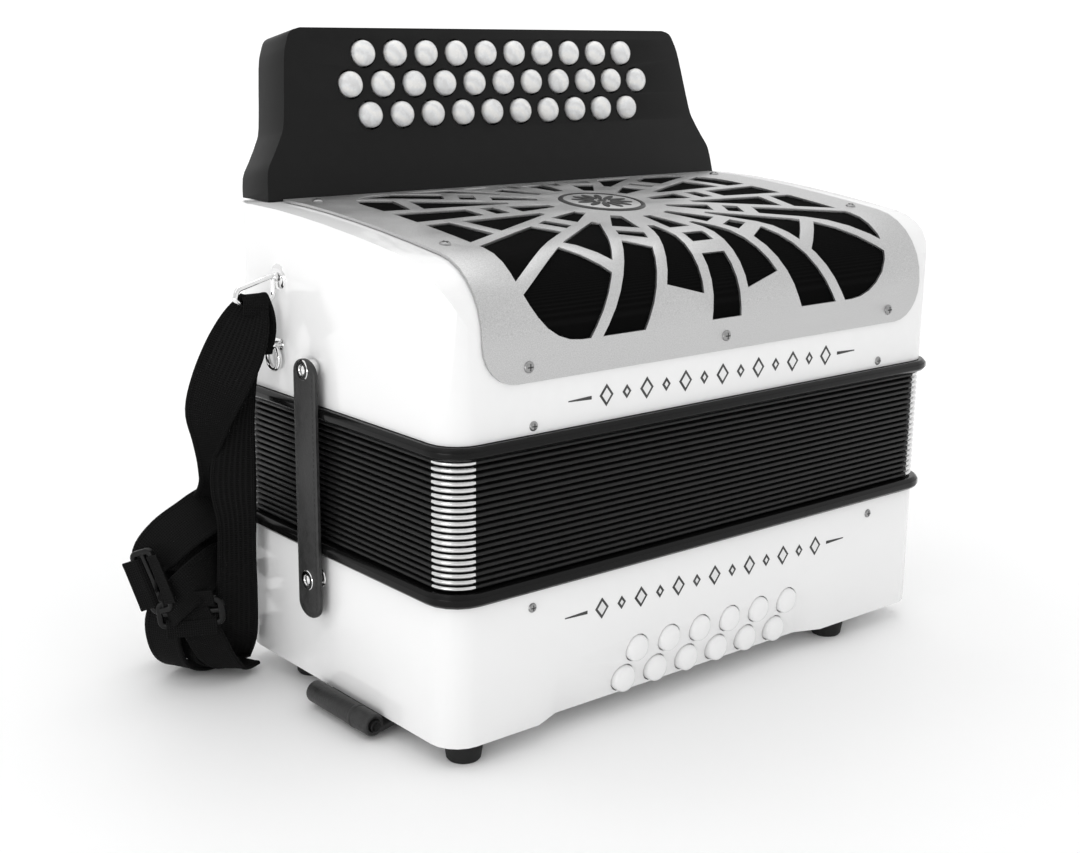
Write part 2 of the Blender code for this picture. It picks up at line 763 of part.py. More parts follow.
def make_bass_casing():
    inner_x = HALF_WIDTH - WALL
    inner_y = HALF_DEPTH - WALL
    casing = plate('bass_casing', rounded_rectangle(HALF_WIDTH, HALF_DEPTH, CORNER_RADIUS, 5), 'Z',
                   BASE_BOTTOM, BASS_FRAME_BOTTOM - GAP)
    cut(casing, plate('bass_inside', rounded_rectangle(inner_x, inner_y, CORNER_RADIUS - WALL, 4), 'Z',
                      LEDGE_TOP, BASS_FRAME_BOTTOM + WALL))
    cut(casing, block('base_window', (-BASE_HALF_X, -BASE_HALF_Y, 0.0),
                      (BASE_HALF_X, BASE_HALF_Y, LEDGE_TOP + WALL)))
    cut(casing, scoop())
    holes = [plate('hole', circle(place, BASS_HOLE_RADIUS, 16), 'Y', -HALF_DEPTH - 5, -BASE_HALF_Y + 4)
             for place in bass_places()]
    holes.append(plate('hole', circle(AIR_BUTTON_PLACE, BASS_HOLE_RADIUS, 16), 'Y',
                       BASE_HALF_Y - 5, HALF_DEPTH + 5))
    cut(casing, merged('bass_holes', holes))
    add_part(casing, 'bass_casing', bass_half, 'white')


def make_bass_base():
    """Cover let into the casing from below, with four rubber feet, each on a neck."""
    base = block('bass_base', (-BASE_HALF_X + GAP, -BASE_HALF_Y + GAP, BASE_BOTTOM),
                 (BASE_HALF_X - GAP, BASE_HALF_Y - GAP, BASE_TOP))
    foot_top = BASE_BOTTOM - GAP
    foot_profile = ((0.0, foot_top), (FOOT_TOP_RADIUS, foot_top), (FOOT_BOTTOM_RADIUS, 0.0), (0.0, 0.0))
    neck_profile = ((0.0, BASE_TOP - 1), (NECK_RADIUS, BASE_TOP - 1), (NECK_RADIUS, 3.0), (0.0, 3.0))
    for x, y in FOOT_PLACES:
        neck = (x - math.copysign(NECK_INWARD[0], x), y - math.copysign(NECK_INWARD[1], y), 0.0)
        join(base, turned('foot', foot_profile, 12, (x, y, 0.0)))
        join(base, turned('neck', neck_profile, 8, neck))
    add_part(base, 'bass_base', bass_half, 'white')


def button_profile(length, stem_length):
    """Flat-topped button with a soft rim, on a thin stem."""
    rim = BASS_BUTTON_RADIUS
    return ((0.0, 0.0), (rim - 1.7, 0.0), (rim, -1.0), (rim, -length), (BASS_STEM_RADIUS, -length - 0.4),
            (BASS_STEM_RADIUS, -length - stem_length), (0.0, -length - stem_length))


def make_bass_buttons():
    for number, (x, z) in enumerate(bass_places(), start=1):
        relief = max(SCOOP_TOP - z, 0.0) / (SCOOP_TOP - BASE_BOTTOM) * SCOOP_INSET
        front = -HALF_DEPTH + SCOOP_SHARE * relief - BASS_BUTTON_PROUD
        button = turned('button', button_profile(10.0, BASS_STEM_LENGTH), 12, (x, front, z), turn=QUARTER)
        add_part(button, f'bass_button_{number:02d}', bass_half, 'white')
    air = turned('button', button_profile(9.4, 10.0), 12,
                 (AIR_BUTTON_PLACE[0], HALF_DEPTH + AIR_BUTTON_PROUD, AIR_BUTTON_PLACE[1]), turn=-QUARTER)
    add_part(air, 'air_button', bass_half, 'white')


# ---- straps and ring ----

def make_closing_strap(name, side):
    """Flat strap outside the frames; its boss reaches in to the treble casing."""
    half = CLOSER_WIDTH / 2
    outline = []
    for end_z, sign in ((CLOSER_TOP, 1), (CLOSER_BOTTOM, -1)):
        for i in range(7):
            turn = math.pi * i / 6
            outline.append((CLOSER_Y + sign * half * math.cos(turn),
                            end_z - sign * half + sign * half * math.sin(turn)))
    low, high = sorted((side * CLOSER_INNER_X, side * (CLOSER_INNER_X + CLOSER_THICKNESS)))
    strap = plate(name, outline, 'X', low, high)
    low, high = sorted((side * (HALF_WIDTH + GAP), side * (CLOSER_INNER_X + 1)))
    join(strap, plate('boss', circle((CLOSER_Y, CLOSER_PIVOT_Z), CLOSER_BOSS_RADIUS, 12), 'X', low, high))
    pivot = (side * (CLOSER_INNER_X + CLOSER_THICKNESS / 2), CLOSER_Y, CLOSER_PIVOT_Z)
    add_part(strap, name, treble_half, 'leather', pivot=pivot)


def make_hand_strap():
    """Band under the base that ends in a roll beyond each end wall."""
    low_y = HAND_STRAP_Y - HAND_STRAP_WIDTH / 2
    high_y = HAND_STRAP_Y + HAND_STRAP_WIDTH / 2
    band = block('hand_strap', (-HAND_ROLL_X, low_y, HAND_STRAP_BOTTOM),
                 (HAND_ROLL_X, high_y, HAND_STRAP_TOP))
    for side in (-1, 1):
        outline = circle((side * HAND_ROLL_X, HAND_ROLL_Z), HAND_ROLL_RADIUS, 12)
        join(band, plate('roll', outline, 'Y', low_y - HAND_ROLL_PROUD, high_y + HAND_ROLL_PROUD))
    add_part(band, 'hand_strap', bass_half, 'leather')


def make_ring():
    """Bent wire loop that swings on a stud in the end wall."""
    wire = bpy.data.curves.new('strap_ring', 'CURVE')
    wire.dimensions = '2D'
    wire.fill_mode = 'NONE'
    wire.bevel_depth = RING_WIRE * MM
    wire.bevel_resolution = RING_WIRE_STEPS
    closed_spline(wire, RING_OUTLINE)
    ring = curve_to_object('strap_ring', wire)
    ring.location = millimetres(0.0, RING_Y, 0.0)
    ring.rotation_euler.x = QUARTER
    add_part(ring, 'strap_ring', treble_half, 'chrome', pivot=(RING_OUTLINE[0][0], RING_Y, RING_PIVOT_Z))


def make_shoulder_strap():
    """Webbing that drops from the ring and is folded over itself on the floor."""
    outline = lever_outline(SHOULDER_BAND, SHOULDER_THICKNESS / 2)
    strap = plate('shoulder_strap', outline, 'Y', -SHOULDER_WIDTH / 2, SHOULDER_WIDTH / 2)
    top = SHOULDER_BAND[0][1]
    strap.data.transform(Matrix.Translation(millimetres(0.0, -top, 0.0)))
    strap.location = millimetres(0.0, SHOULDER_Y, top)
    strap.rotation_euler.x = QUARTER + SHOULDER_LEAN
    add_part(strap, 'shoulder_strap', bass_half, 'webbing')


def clear_scene():
    for obj in list(bpy.data.objects):
        bpy.data.objects.remove(obj, do_unlink=True)


def make_accordion():
    line = roof_line()
    make_treble_casing(line)
    make_grille(line)
    make_fingerboard()
    make_treble_keys()
    make_treble_reed_board()
    make_frame('treble_frame', TREBLE_FRAME_BOTTOM, TREBLE_FRAME_TOP, treble_half)
    make_bellows()
    make_frame('bass_frame', BASS_FRAME_BOTTOM, BASS_FRAME_TOP, bass_half)
    make_bass_reed_board()
    make_bass_casing()
    make_bass_buttons()
    make_bass_base()
    make_closing_strap('closing_strap_left', -1)
    make_closing_strap('closing_strap_right', 1)
    make_hand_strap()
    make_ring()
    make_shoulder_strap()


def centre_on_base():
    """Move the whole model so that its origin is under the middle of its box."""
    bpy.context.view_layer.update()
    solids = [obj for obj in model.objects if obj.type == 'MESH']
    corners = np.array([(obj.matrix_world @ v.co)[:] for obj in solids for v in obj.data.vertices])
    middle = (corners.min(axis=0) + corners.max(axis=0)) / 2
    accordion.location.x = -middle[0]
    accordion.location.y = -middle[1]
    print('origin moved by, mm', np.round(-middle[:2] / MM, 4))


clear_scene()
model = make_collection('accordion')
cutters = make_collection('cutters')
accordion = make_empty('accordion')
bass_half = make_empty('bass_half', accordion)
treble_half = make_empty('treble_half', accordion)
board_slope = make_empty('board_slope', treble_half, (0.0, BOARD_FRONT_Y, BOARD_FRONT_Z),
                         QUARTER - BOARD_TILT)
make_accordion()
centre_on_base()
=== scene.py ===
"""The looks of a three-row button accordion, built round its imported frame.

Lengths are in millimetres, from the middle of the casing and from the floor up. `at` turns them into the
frame's metres. The bass half stands on the floor; the bellows and the treble half are above it.
"""
import math

import bmesh
import bpy
from mathutils import Matrix, Vector


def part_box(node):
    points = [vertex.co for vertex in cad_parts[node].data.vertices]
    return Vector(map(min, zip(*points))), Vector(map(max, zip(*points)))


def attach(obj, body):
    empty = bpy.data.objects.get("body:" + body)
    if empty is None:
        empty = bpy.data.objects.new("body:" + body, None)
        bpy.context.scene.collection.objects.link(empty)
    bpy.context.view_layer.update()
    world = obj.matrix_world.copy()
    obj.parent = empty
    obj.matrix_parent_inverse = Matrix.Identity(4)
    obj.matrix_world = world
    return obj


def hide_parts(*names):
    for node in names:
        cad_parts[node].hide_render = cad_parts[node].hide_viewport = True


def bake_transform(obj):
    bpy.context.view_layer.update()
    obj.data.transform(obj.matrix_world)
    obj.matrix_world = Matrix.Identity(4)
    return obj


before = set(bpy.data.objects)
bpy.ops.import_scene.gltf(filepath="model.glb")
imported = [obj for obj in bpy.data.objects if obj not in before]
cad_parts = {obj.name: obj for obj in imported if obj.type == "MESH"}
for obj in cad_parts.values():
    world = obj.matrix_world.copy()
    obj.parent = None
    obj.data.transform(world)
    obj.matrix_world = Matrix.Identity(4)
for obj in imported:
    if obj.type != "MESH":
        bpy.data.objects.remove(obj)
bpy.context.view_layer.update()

MM = 0.001
CASING_LOW, CASING_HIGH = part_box("bass_casing")
MIDDLE = (CASING_LOW + CASING_HIGH) / 2
HALF_X = (CASING_HIGH.x - CASING_LOW.x) / 2 / MM
HALF_Y = (CASING_HIGH.y - CASING_LOW.y) / 2 / MM
CORNER = 14.0


def at(point):
    """A point in millimetres from the casing's middle, in the frame's metres."""
    x, y, z = point
    return Vector((MIDDLE.x + x * MM, MIDDLE.y + y * MM, z * MM))


def span(node):
    """A CAD node's lowest and highest corners, in millimetres from the casing's middle."""
    low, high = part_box(node)
    base = Vector((MIDDLE.x, MIDDLE.y, 0.0))
    return (low - base) / MM, (high - base) / MM


# ---- camera, floor and light ----

CAMERA_PLACE = (-519.61, -578.15, 304.98)
CAMERA_AXES = ((0.76941, -0.63866, 0.01098), (0.14702, 0.19380, 0.96996), (-0.62160, -0.74469, 0.24301))
LENS = 53.0
FLOOR_HALF = 40.0
# Painted light: the floor's own glow strength, and the distances in metres over which it rises from none to
# full.
FLOOR_PAINTED_GLOW = 0.16
FLOOR_PAINTED_GLOW_DISTANCES = (0.32, 1.6)
WORLD_STRENGTH = 1.1
DIM_SIDE = (-0.7, -0.7, 0.1)
DIM_LEVEL = 0.72
BRIGHT_LEVEL = 0.9


def rgba(shade):
    """A grey level, or three levels, as a colour with alpha."""
    levels = (shade,) * 3 if isinstance(shade, (int, float)) else tuple(shade)
    return levels + (1.0,)


class Nodes:
    """A node tree, and short ways to add to it."""

    def __init__(self, tree):
        self.tree = tree

    def node(self, kind, inputs=None, **settings):
        """A new node, its settings, and its inputs given as values or as other nodes' outputs."""
        made = self.tree.nodes.new(kind)
        for key, value in settings.items():
            setattr(made, key, value)
        for key, value in (inputs or {}).items():
            if isinstance(value, bpy.types.NodeSocket):
                self.tree.links.new(value, made.inputs[key])
            else:
                made.inputs[key].default_value = value
        return made

    def ramp(self, value, stops):
        """Colours or levels spread over a value from 0 to 1."""
        made = self.node("ShaderNodeValToRGB", {0: value})
        elements = made.color_ramp.elements
        while len(elements) < len(stops):
            elements.new(0.5)
        for element, (place, shade) in zip(elements, stops):
            element.position = place
            element.color = rgba(shade)
        return made.outputs[0]


def make_camera():
    """The camera at the viewing angle; its axes are its right, its up and the way back to it."""
    data = bpy.data.cameras.new("camera")
    data.lens = LENS
    data.sensor_width = 36.0
    data.clip_end = 50.0
    camera = bpy.data.objects.new("camera", data)
    bpy.context.scene.collection.objects.link(camera)
    turn = Matrix(CAMERA_AXES).transposed().to_4x4()
    camera.matrix_world = Matrix.Translation(at(CAMERA_PLACE)) @ turn
    bpy.context.scene.camera = camera


def make_light(name, place, target, size, power):
    """A soft square lamp at a place in metres from the casing's middle, aimed at a target."""
    data = bpy.data.lights.new(name, "AREA")
    data.shape = "RECTANGLE"
    data.size, data.size_y = size
    data.energy = power
    lamp = bpy.data.objects.new(name, data)
    bpy.context.scene.collection.objects.link(lamp)
    base = Vector((MIDDLE.x, MIDDLE.y, 0.0))
    lamp.location = base + Vector(place)
    aim = base + Vector(target) - lamp.location
    lamp.rotation_euler = aim.to_track_quat("-Z", "Y").to_euler()


def make_world():
    """Even studio light from all round, dimmer at the front, before a white backdrop."""
    world = bpy.data.worlds.new("studio")
    bpy.context.scene.world = world
    world.use_nodes = True
    studio = Nodes(world.node_tree)
    way = studio.node("ShaderNodeTexCoord").outputs["Generated"]
    facing = studio.node("ShaderNodeVectorMath", {0: way, 1: DIM_SIDE}, operation="DOT_PRODUCT")
    light = studio.ramp(facing.outputs["Value"], [(0.1, BRIGHT_LEVEL), (0.8, DIM_LEVEL)])
    seen = studio.node("ShaderNodeLightPath").outputs["Is Camera Ray"]
    shade = studio.node("ShaderNodeMix", {0: seen, 6: light, 7: rgba(1.0)}, data_type="RGBA").outputs[2]
    background = studio.tree.nodes["Background"]
    studio.tree.links.new(shade, background.inputs["Color"])
    background.inputs["Strength"].default_value = WORLD_STRENGTH


make_camera()
make_world()
make_light("key", (-1.5, -0.4, 1.5), (0.0, 0.0, 0.1), (1.2, 1.2), 2)
make_light("fill", (-1.5, -0.5, 0.11), (-0.15, 0.05, 0.04), (0.8, 0.2), 3.5)
make_light("top", (0.1, 0.3, 2.0), (0.0, 0.0, 0.1), (2.2, 1.6), 8)
bpy.context.scene.view_settings.view_transform = "Standard"


# ---- materials ----

SHARP_EDGE = (0.53, 0.62)
WAVE_SCALE = 0.314


class Finish(Nodes):
    """A node material being made: its shader, and short ways to add textures to it."""

    def __init__(self, name, **shader):
        self.material = bpy.data.materials.new(name)
        self.material.use_nodes = True
        super().__init__(self.material.node_tree)
        self.shader = self.tree.nodes["Principled BSDF"]
        self.height = None
        for key, value in shader.items():
            self.shader.inputs[key.replace("_", " ")].default_value = value

    def place(self, stretch=(1.0, 1.0, 1.0), uv=False):
        """Where a texture is read: the piece's own metres, or its UV map, scaled on each axis."""
        source = self.node("ShaderNodeTexCoord").outputs["UV" if uv else "Object"]
        return self.node("ShaderNodeMapping", {"Vector": source, "Scale": stretch}).outputs[0]

    def noise(self, scale, detail=4.0, stretch=(1.0, 1.0, 1.0), uv=False):
        inputs = {"Vector": self.place(stretch, uv), "Scale": scale, "Detail": detail}
        return self.node("ShaderNodeTexNoise", inputs).outputs[0]

    def cells(self, scale):
        inputs = {"Vector": self.place(), "Scale": scale}
        return self.node("ShaderNodeTexVoronoi", inputs).outputs["Distance"]

    def waves(self, scale, axis="X", distortion=0.0, uv=False):
        """Bands across an axis; scale is the number of bands in a metre times WAVE_SCALE."""
        inputs = {"Vector": self.place(uv=uv), "Scale": scale, "Distortion": distortion}
        return self.node("ShaderNodeTexWave", inputs, bands_direction=axis).outputs["Fac"]

    def sum(self, operation, first, second):
        inputs = {0: first, 1: second}
        return self.node("ShaderNodeMath", inputs, operation=operation).outputs[0]

    def span(self, value, low, high, start=0.3, end=0.7):
        """A value between start and end, spread from low to high."""
        inputs = {"Value": value, "From Min": start, "From Max": end, "To Min": low, "To Max": high}
        return self.node("ShaderNodeMapRange", inputs).outputs[0]

    def colour(self, source):
        self.tree.links.new(source, self.shader.inputs["Base Color"])

    def rough(self, source):
        self.tree.links.new(source, self.shader.inputs["Roughness"])

    def bump(self, source, depth, strength=1.0):
        """Adds relief of a depth in millimetres."""
        inputs = {"Height": source, "Distance": depth * MM, "Strength": strength}
        if self.height:
            inputs["Normal"] = self.height
        self.height = self.node("ShaderNodeBump", inputs).outputs[0]
        self.tree.links.new(self.height, self.shader.inputs["Normal"])

    def shaded(self, base, shade):
        """The base colour, darkened by a shade."""
        inputs = {0: 1.0, 6: base, 7: shade}
        return self.node("ShaderNodeMix", inputs, data_type="RGBA", blend_type="MULTIPLY").outputs[2]

    def wear(self, base, worn):
        """The base colour, rubbed to another along the sharpest edges."""
        edge = self.node("ShaderNodeNewGeometry").outputs["Pointiness"]
        patch = self.noise(160.0)
        amount = self.sum("MULTIPLY", self.span(edge, 0.0, 1.0, *SHARP_EDGE), self.span(patch, 0.0, 1.0))
        return self.node("ShaderNodeMix", {0: amount, 6: base, 7: rgba(worn)}, data_type="RGBA").outputs[2]


def painted_white(name, tone, rough):
    """Glossy white lacquer, with a faint marbling, fine waviness and a clear coat."""
    made = Finish(name, Coat_Weight=0.22, Coat_Roughness=0.1, IOR=1.5)
    marbling = made.noise(9.0, 5.0, (1.0, 1.0, 1.6))
    base = made.ramp(marbling, [(0.25, tone * 0.975), (0.75, tone)])
    made.colour(made.wear(base, tone * 0.97))
    made.rough(made.span(made.noise(34.0), rough, rough * 1.2))
    made.bump(made.noise(700.0, 2.0), 0.01)
    return made.material


def painted_black(name, tone, rough, grain, depth, shine=0.3, rubbed=2.6):
    """Black paint or moulded plastic, with its grain size in millimetres."""
    made = Finish(name, Specular_IOR_Level=shine, IOR=1.47)
    base = made.ramp(made.noise(22.0), [(0.3, tone * 0.9), (0.7, tone * 1.1)])
    made.colour(made.wear(base, tone * rubbed))
    made.rough(made.span(made.noise(60.0), rough * 0.97, rough * 1.05))
    made.bump(made.noise(1000.0 / grain, 3.0), depth)
    return made.material


def metal(name, tone, rough, grain, depth, stretch=(1.0, 1.0, 1.0), speckle=0.04):
    """Metal with a grain, brushed where the stretch is uneven, and faint smudges."""
    made = Finish(name, Metallic=1.0)
    smudge = made.noise(45.0, 5.0)
    fleck = made.ramp(made.noise(1000.0 / grain, 1.0), [(0.3, 1.0 - speckle), (0.7, 1.0)])
    made.colour(made.shaded(made.ramp(smudge, [(0.3, tone * 0.96), (0.7, tone)]), fleck))
    made.rough(made.span(smudge, rough * 0.9, rough * 1.15))
    made.bump(made.noise(1000.0 / grain, 4.0, stretch), depth)
    return made.material


def pearl(name, tone):
    """Mother-of-pearl plastic: soft swirled bands of cool and warm white under a gloss."""
    made = Finish(name, Coat_Weight=0.8, Coat_Roughness=0.05, Roughness=0.25, Subsurface_Weight=0.15)
    made.shader.inputs["Subsurface Radius"].default_value = (0.002, 0.002, 0.002)
    swirl = made.waves(60.0, "DIAGONAL", 9.0)
    speck = made.noise(420.0, 6.0)
    mixed = made.sum("ADD", made.sum("MULTIPLY", swirl, 0.55), made.sum("MULTIPLY", speck, 0.45))
    cool, warm = (tone * 0.92, tone * 0.93, tone * 0.94), (tone, tone * 0.99, tone * 0.97)
    made.colour(made.ramp(mixed, [(0.2, tone * 0.84), (0.45, cool), (0.75, warm)]))
    made.rough(made.span(speck, 0.18, 0.34))
    made.bump(speck, 0.015)
    return made.material


def leather(name, tone, rough=0.5, shine=0.3):
    """Grained leather: small pebbles, fine creases and a slight shine."""
    made = Finish(name, Specular_IOR_Level=shine)
    pebble = made.cells(900.0)
    crease = made.noise(260.0, 6.0)
    made.colour(made.wear(made.ramp(crease, [(0.3, tone * 0.7), (0.75, tone * 1.3)]), tone * 2.4))
    made.rough(made.span(crease, rough * 0.85, rough * 1.2))
    made.bump(crease, 0.12, 0.6)
    made.bump(pebble, 0.10, 0.8)
    return made.material


def woven(name, tone, pitch, rough=0.72, sheen=0.1, uv=True, shine=0.12):
    """Plain-woven yarns, over and under each other, with the yarns' pitch in millimetres."""
    made = Finish(name, Sheen_Weight=sheen, Sheen_Roughness=0.4, Specular_IOR_Level=shine)
    bands = WAVE_SCALE * 1000.0 / pitch
    across = made.waves(bands, "X", 0.0, uv)
    along = made.waves(bands, "Y", 0.0, uv)
    weave = made.sum("MAXIMUM", across, along)
    fuzz = made.noise(30.0, 5.0, uv=uv)
    shade = made.sum("MULTIPLY", weave, made.span(fuzz, 0.75, 1.15))
    made.colour(made.ramp(shade, [(0.15, tone * 0.45), (0.9, tone * 1.25)]))
    made.rough(made.span(fuzz, rough * 0.9, rough * 1.1))
    made.bump(weave, pitch * 0.22)
    return made.material


def wood(name, light, dark):
    """Pale straight-grained wood, its grain along x."""
    made = Finish(name)
    grain = made.noise(60.0, 6.0, (0.12, 1.0, 1.0))
    pore = made.noise(900.0, 3.0, (0.06, 1.0, 1.0))
    mixed = made.sum("ADD", made.sum("MULTIPLY", grain, 0.7), made.sum("MULTIPLY", pore, 0.3))
    made.colour(made.ramp(mixed, [(0.3, dark), (0.7, light)]))
    made.rough(made.span(pore, 0.45, 0.65))
    made.bump(pore, 0.06)
    return made.material


def make_floor():
    """A wide pale floor with the faintest unevenness; far off it glows with painted light, none near the
    casing, and so fades into the studio's white.
    """
    made = Finish("floor_pale", Roughness=0.55, Specular_IOR_Level=0.3)
    # Painted light: the floor emits light of its own, none near the origin and rising with distance to full
    # strength far off.
    place = made.node("ShaderNodeNewGeometry").outputs["Position"]
    distance = made.node("ShaderNodeVectorMath", {0: place}, operation="LENGTH").outputs["Value"]
    glow = made.span(distance, 0.0, FLOOR_PAINTED_GLOW, *FLOOR_PAINTED_GLOW_DISTANCES)
    made.tree.links.new(glow, made.shader.inputs["Emission Strength"])
    made.colour(made.ramp(made.noise(3.0, 3.0), [(0.3, 0.95), (0.7, 0.97)]))
    made.bump(made.noise(300.0, 2.0), 0.02)
    mesh = bpy.data.meshes.new("floor")
    half = FLOOR_HALF
    corners = [(-half, -half, 0), (half, -half, 0), (half, half, 0), (-half, half, 0)]
    mesh.from_pydata(corners, [], [(0, 1, 2, 3)])
    mesh.materials.append(made.material)
    floor = bpy.data.objects.new("floor", mesh)
    bpy.context.scene.collection.objects.link(floor)


make_floor()
FINISHES = {
    "white_gloss": painted_white("white_lacquer", 0.88, 0.13),
    "base_white": painted_white("white_base", 0.85, 0.3),
    "frame_black": painted_black("frame_satin_black", 0.004, 0.17, 0.7, 0.02, 0.17, 1.3),
    "board_black": painted_black("board_matt_black", 0.0085, 0.42, 0.35, 0.05, 0.14, 1.15),
    "pearl_button": pearl("pearl", 0.84),
    "bass_button_white": painted_white("bass_button_white", 0.88, 0.2),
    "grille_silver": metal("satin_silver", 0.63, 0.44, 0.45, 0.06, speckle=0.22),
    "bellows_black": woven("bellows_cloth", 0.006, 0.5, 0.5, 0.02, False),
    "bellows_edge": leather("bellows_edge", 0.009, 0.36, 0.22),
    "reed_wood": wood("reed_wood", (0.52, 0.35, 0.19), (0.36, 0.22, 0.10)),
    "strap_leather": leather("strap_leather", 0.025, 0.42, 0.3),
    "webbing": woven("strap_webbing", 0.0065, 1.1, 0.75, 0.01, True, 0.05),
    "chrome_ring": metal("chrome", 0.86, 0.09, 2.0, 0.008),
    "clip_metal": metal("clip_metal", 0.72, 0.22, 1.2, 0.012),
    "screw_metal": metal("screw_metal", 0.34, 0.3, 0.6, 0.01),
    "rubber": painted_black("rubber", 0.014, 0.7, 0.3, 0.05, 0.2),
    "grille_cloth": woven("grille_cloth", 0.004, 0.6, 0.9, 0.0, False, 0.02),
    # Dark grey ink for the badge and ornament prints; the same finish is painted shade in the screws' cross
    # slots.
    "ink_and_slot_shade": painted_black("grey_ink_and_slot_shade", 0.03, 0.4, 0.4, 0.01),
    "inlay_silver": metal("inlay_silver", 0.8, 0.35, 0.3, 0.01),
    "steel": metal("steel", 0.6, 0.3, 0.4, 0.02, (0.1, 1.0, 1.0)),
    "felt": woven("felt", 0.16, 0.7, 0.9, 0.4, False),
    "moulded_black": painted_black("moulded_black", 0.0045, 0.3, 0.6, 0.02, 0.2),
    "thread": woven("thread", 0.03, 0.4, 0.6, 0.1, False),
}


# ---- shapes ----

def outward(outline, index):
    """The direction away from a closed outline at one of its corners, its length set by the corner."""
    before, here, after = (Vector(outline[(index + step) % len(outline)]) for step in (-1, 0, 1))
    first, second = (here - before).normalized(), (after - here).normalized()
    normal_1, normal_2 = Vector((first.y, -first.x)), Vector((second.y, -second.x))
    return (normal_1 + normal_2) / max(0.4, 1.0 + normal_1.dot(normal_2))


def inset(outline, depth):
    """A closed outline, running anticlockwise, moved inwards by a depth."""
    return [tuple(Vector(point) - outward(outline, i) * depth) for i, point in enumerate(outline)]


def circle(radius, steps):
    turns = [2 * math.pi * i / steps for i in range(steps)]
    return [(radius * math.cos(t), radius * math.sin(t)) for t in turns]


def rounded(half_a, half_b, radius, steps=6, centre=(0.0, 0.0)):
    """A rectangle with rounded corners, anticlockwise."""
    points = []
    for quarter, (sign_a, sign_b) in enumerate(((1, 1), (-1, 1), (-1, -1), (1, -1))):
        for step in range(steps + 1):
            turn = math.pi / 2 * (quarter + step / steps)
            a = sign_a * (half_a - radius) + radius * math.cos(turn)
            b = sign_b * (half_b - radius) + radius * math.sin(turn)
            points.append((centre[0] + a, centre[1] + b))
    return points


class Shape:
    """Points in millimetres and faces gathered for one piece, each face with its finish's number."""

    def __init__(self):
        self.points, self.faces, self.paint, self.uvs = [], [], [], []

    def face(self, corners, paint, uv=None):
        self.faces.append(corners)
        self.paint.append(paint)
        self.uvs.append(uv or [(0.0, 0.0)] * len(corners))

    def skin(self, rings, paint=0, loop=True, capped=True):
        """A surface over rings with equal numbers of points; it loops round, or is closed by flat caps."""
        rings = [[Vector(point) for point in ring] for ring in rings]
        count, first = len(rings[0]), len(self.points)
        for ring in rings:
            self.points += ring
        around, along = [0.0], [0.0]
        for i in range(count):
            around.append(around[-1] + (rings[0][(i + 1) % count] - rings[0][i]).length * MM)
        turns = len(rings) if loop else len(rings) - 1
        quarters = range(0, count, max(1, count // 4))
        for j in range(turns):
            following = rings[(j + 1) % len(rings)]
            step = sum(((following[i] - rings[j][i]).length for i in quarters))
            along.append(along[-1] + step / len(quarters) * MM)
        for j in range(turns):
            low, high = first + j * count, first + (j + 1) % len(rings) * count
            for i in range(count):
                k = (i + 1) % count
                uv = [(along[j], around[i]), (along[j], around[i + 1])]
                uv += [(along[j + 1], around[i + 1]), (along[j + 1], around[i])]
                self.face([low + i, low + k, high + k, high + i], paint, uv)
        if capped and not loop:
            self.face([first + i for i in reversed(range(count))], paint)
            self.face([first + (len(rings) - 1) * count + i for i in range(count)], paint)

    def slab(self, outline, low, high, place, paint=0, edge=0.3):
        """A flat plate between two heights, its edges eased, set in the model by place(a, b, height)."""
        small = inset(outline, edge)
        levels = [(small, low), (outline, low + edge), (outline, high - edge), (small, high)]
        self.skin([[place(a, b, level) for a, b in ring] for ring, level in levels], paint, False)

    def turned(self, profile, place, paint=0, steps=32):
        """A turned piece: radius and height pairs about place's own height axis, its ends closed."""
        rings = [[place(a, b, height) for a, b in circle(radius, steps)] for radius, height in profile]
        self.skin(rings, paint, False)

    def sweep(self, path, sides, section, paint=0, loop=False):
        """A section of (across, out) offsets carried along a path; sides are the directions across it."""
        path = [Vector(point) for point in path]
        rings = []
        for i, point in enumerate(path):
            if loop:
                before, after = path[i - 1], path[(i + 1) % len(path)]
            else:
                before, after = path[max(0, i - 1)], path[min(len(path) - 1, i + 1)]
            along = (after - before).normalized()
            side = Vector(sides[i]) if isinstance(sides, list) else Vector(sides)
            side = (side - along * side.dot(along)).normalized()
            out = side.cross(along)
            shape = section[i] if isinstance(section[0][0], (tuple, list)) else section
            rings.append([point + side * a + out * b for a, b in shape])
        self.skin(rings, paint, loop)

    def wire(self, path, radius, side, paint=0, loop=False, steps=12):
        self.sweep(path, side, circle(radius, steps), paint, loop)


CURVE_STEPS = 24


def smooth(points, count):
    """A Catmull-Rom curve through the points, at even steps of length."""
    points = [Vector(point) for point in points]
    dense = []
    for i in range(len(points) - 1):
        p = [points[max(0, min(len(points) - 1, i + step))] for step in (-1, 0, 1, 2)]
        for step in range(CURVE_STEPS):
            t = step / CURVE_STEPS
            square, cube = 2 * p[0] - 5 * p[1] + 4 * p[2] - p[3], 3 * p[1] - p[0] - 3 * p[2] + p[3]
            dense.append(0.5 * (2 * p[1] + (p[2] - p[0]) * t + square * t * t + cube * t ** 3))
    dense.append(points[-1])
    lengths = [0.0]
    for before, after in zip(dense, dense[1:]):
        lengths.append(lengths[-1] + (after - before).length)
    found, j = [], 0
    for i in range(count):
        wanted = lengths[-1] * i / (count - 1)
        while j < len(dense) - 2 and lengths[j + 1] < wanted:
            j += 1
        part = (wanted - lengths[j]) / max(1e-9, lengths[j + 1] - lengths[j])
        found.append(dense[j].lerp(dense[j + 1], min(1.0, part)))
    return found


def mark_edges(mesh, angle):
    """Smooth shading, except over edges sharper than an angle in degrees."""
    work = bmesh.new()
    work.from_mesh(mesh)
    bmesh.ops.recalc_face_normals(work, faces=work.faces)
    for face in work.faces:
        face.smooth = True
    for edge in work.edges:
        edge.smooth = len(edge.link_faces) == 2 and edge.calc_face_angle(0.0) < math.radians(angle)
    work.to_mesh(mesh)
    work.free()


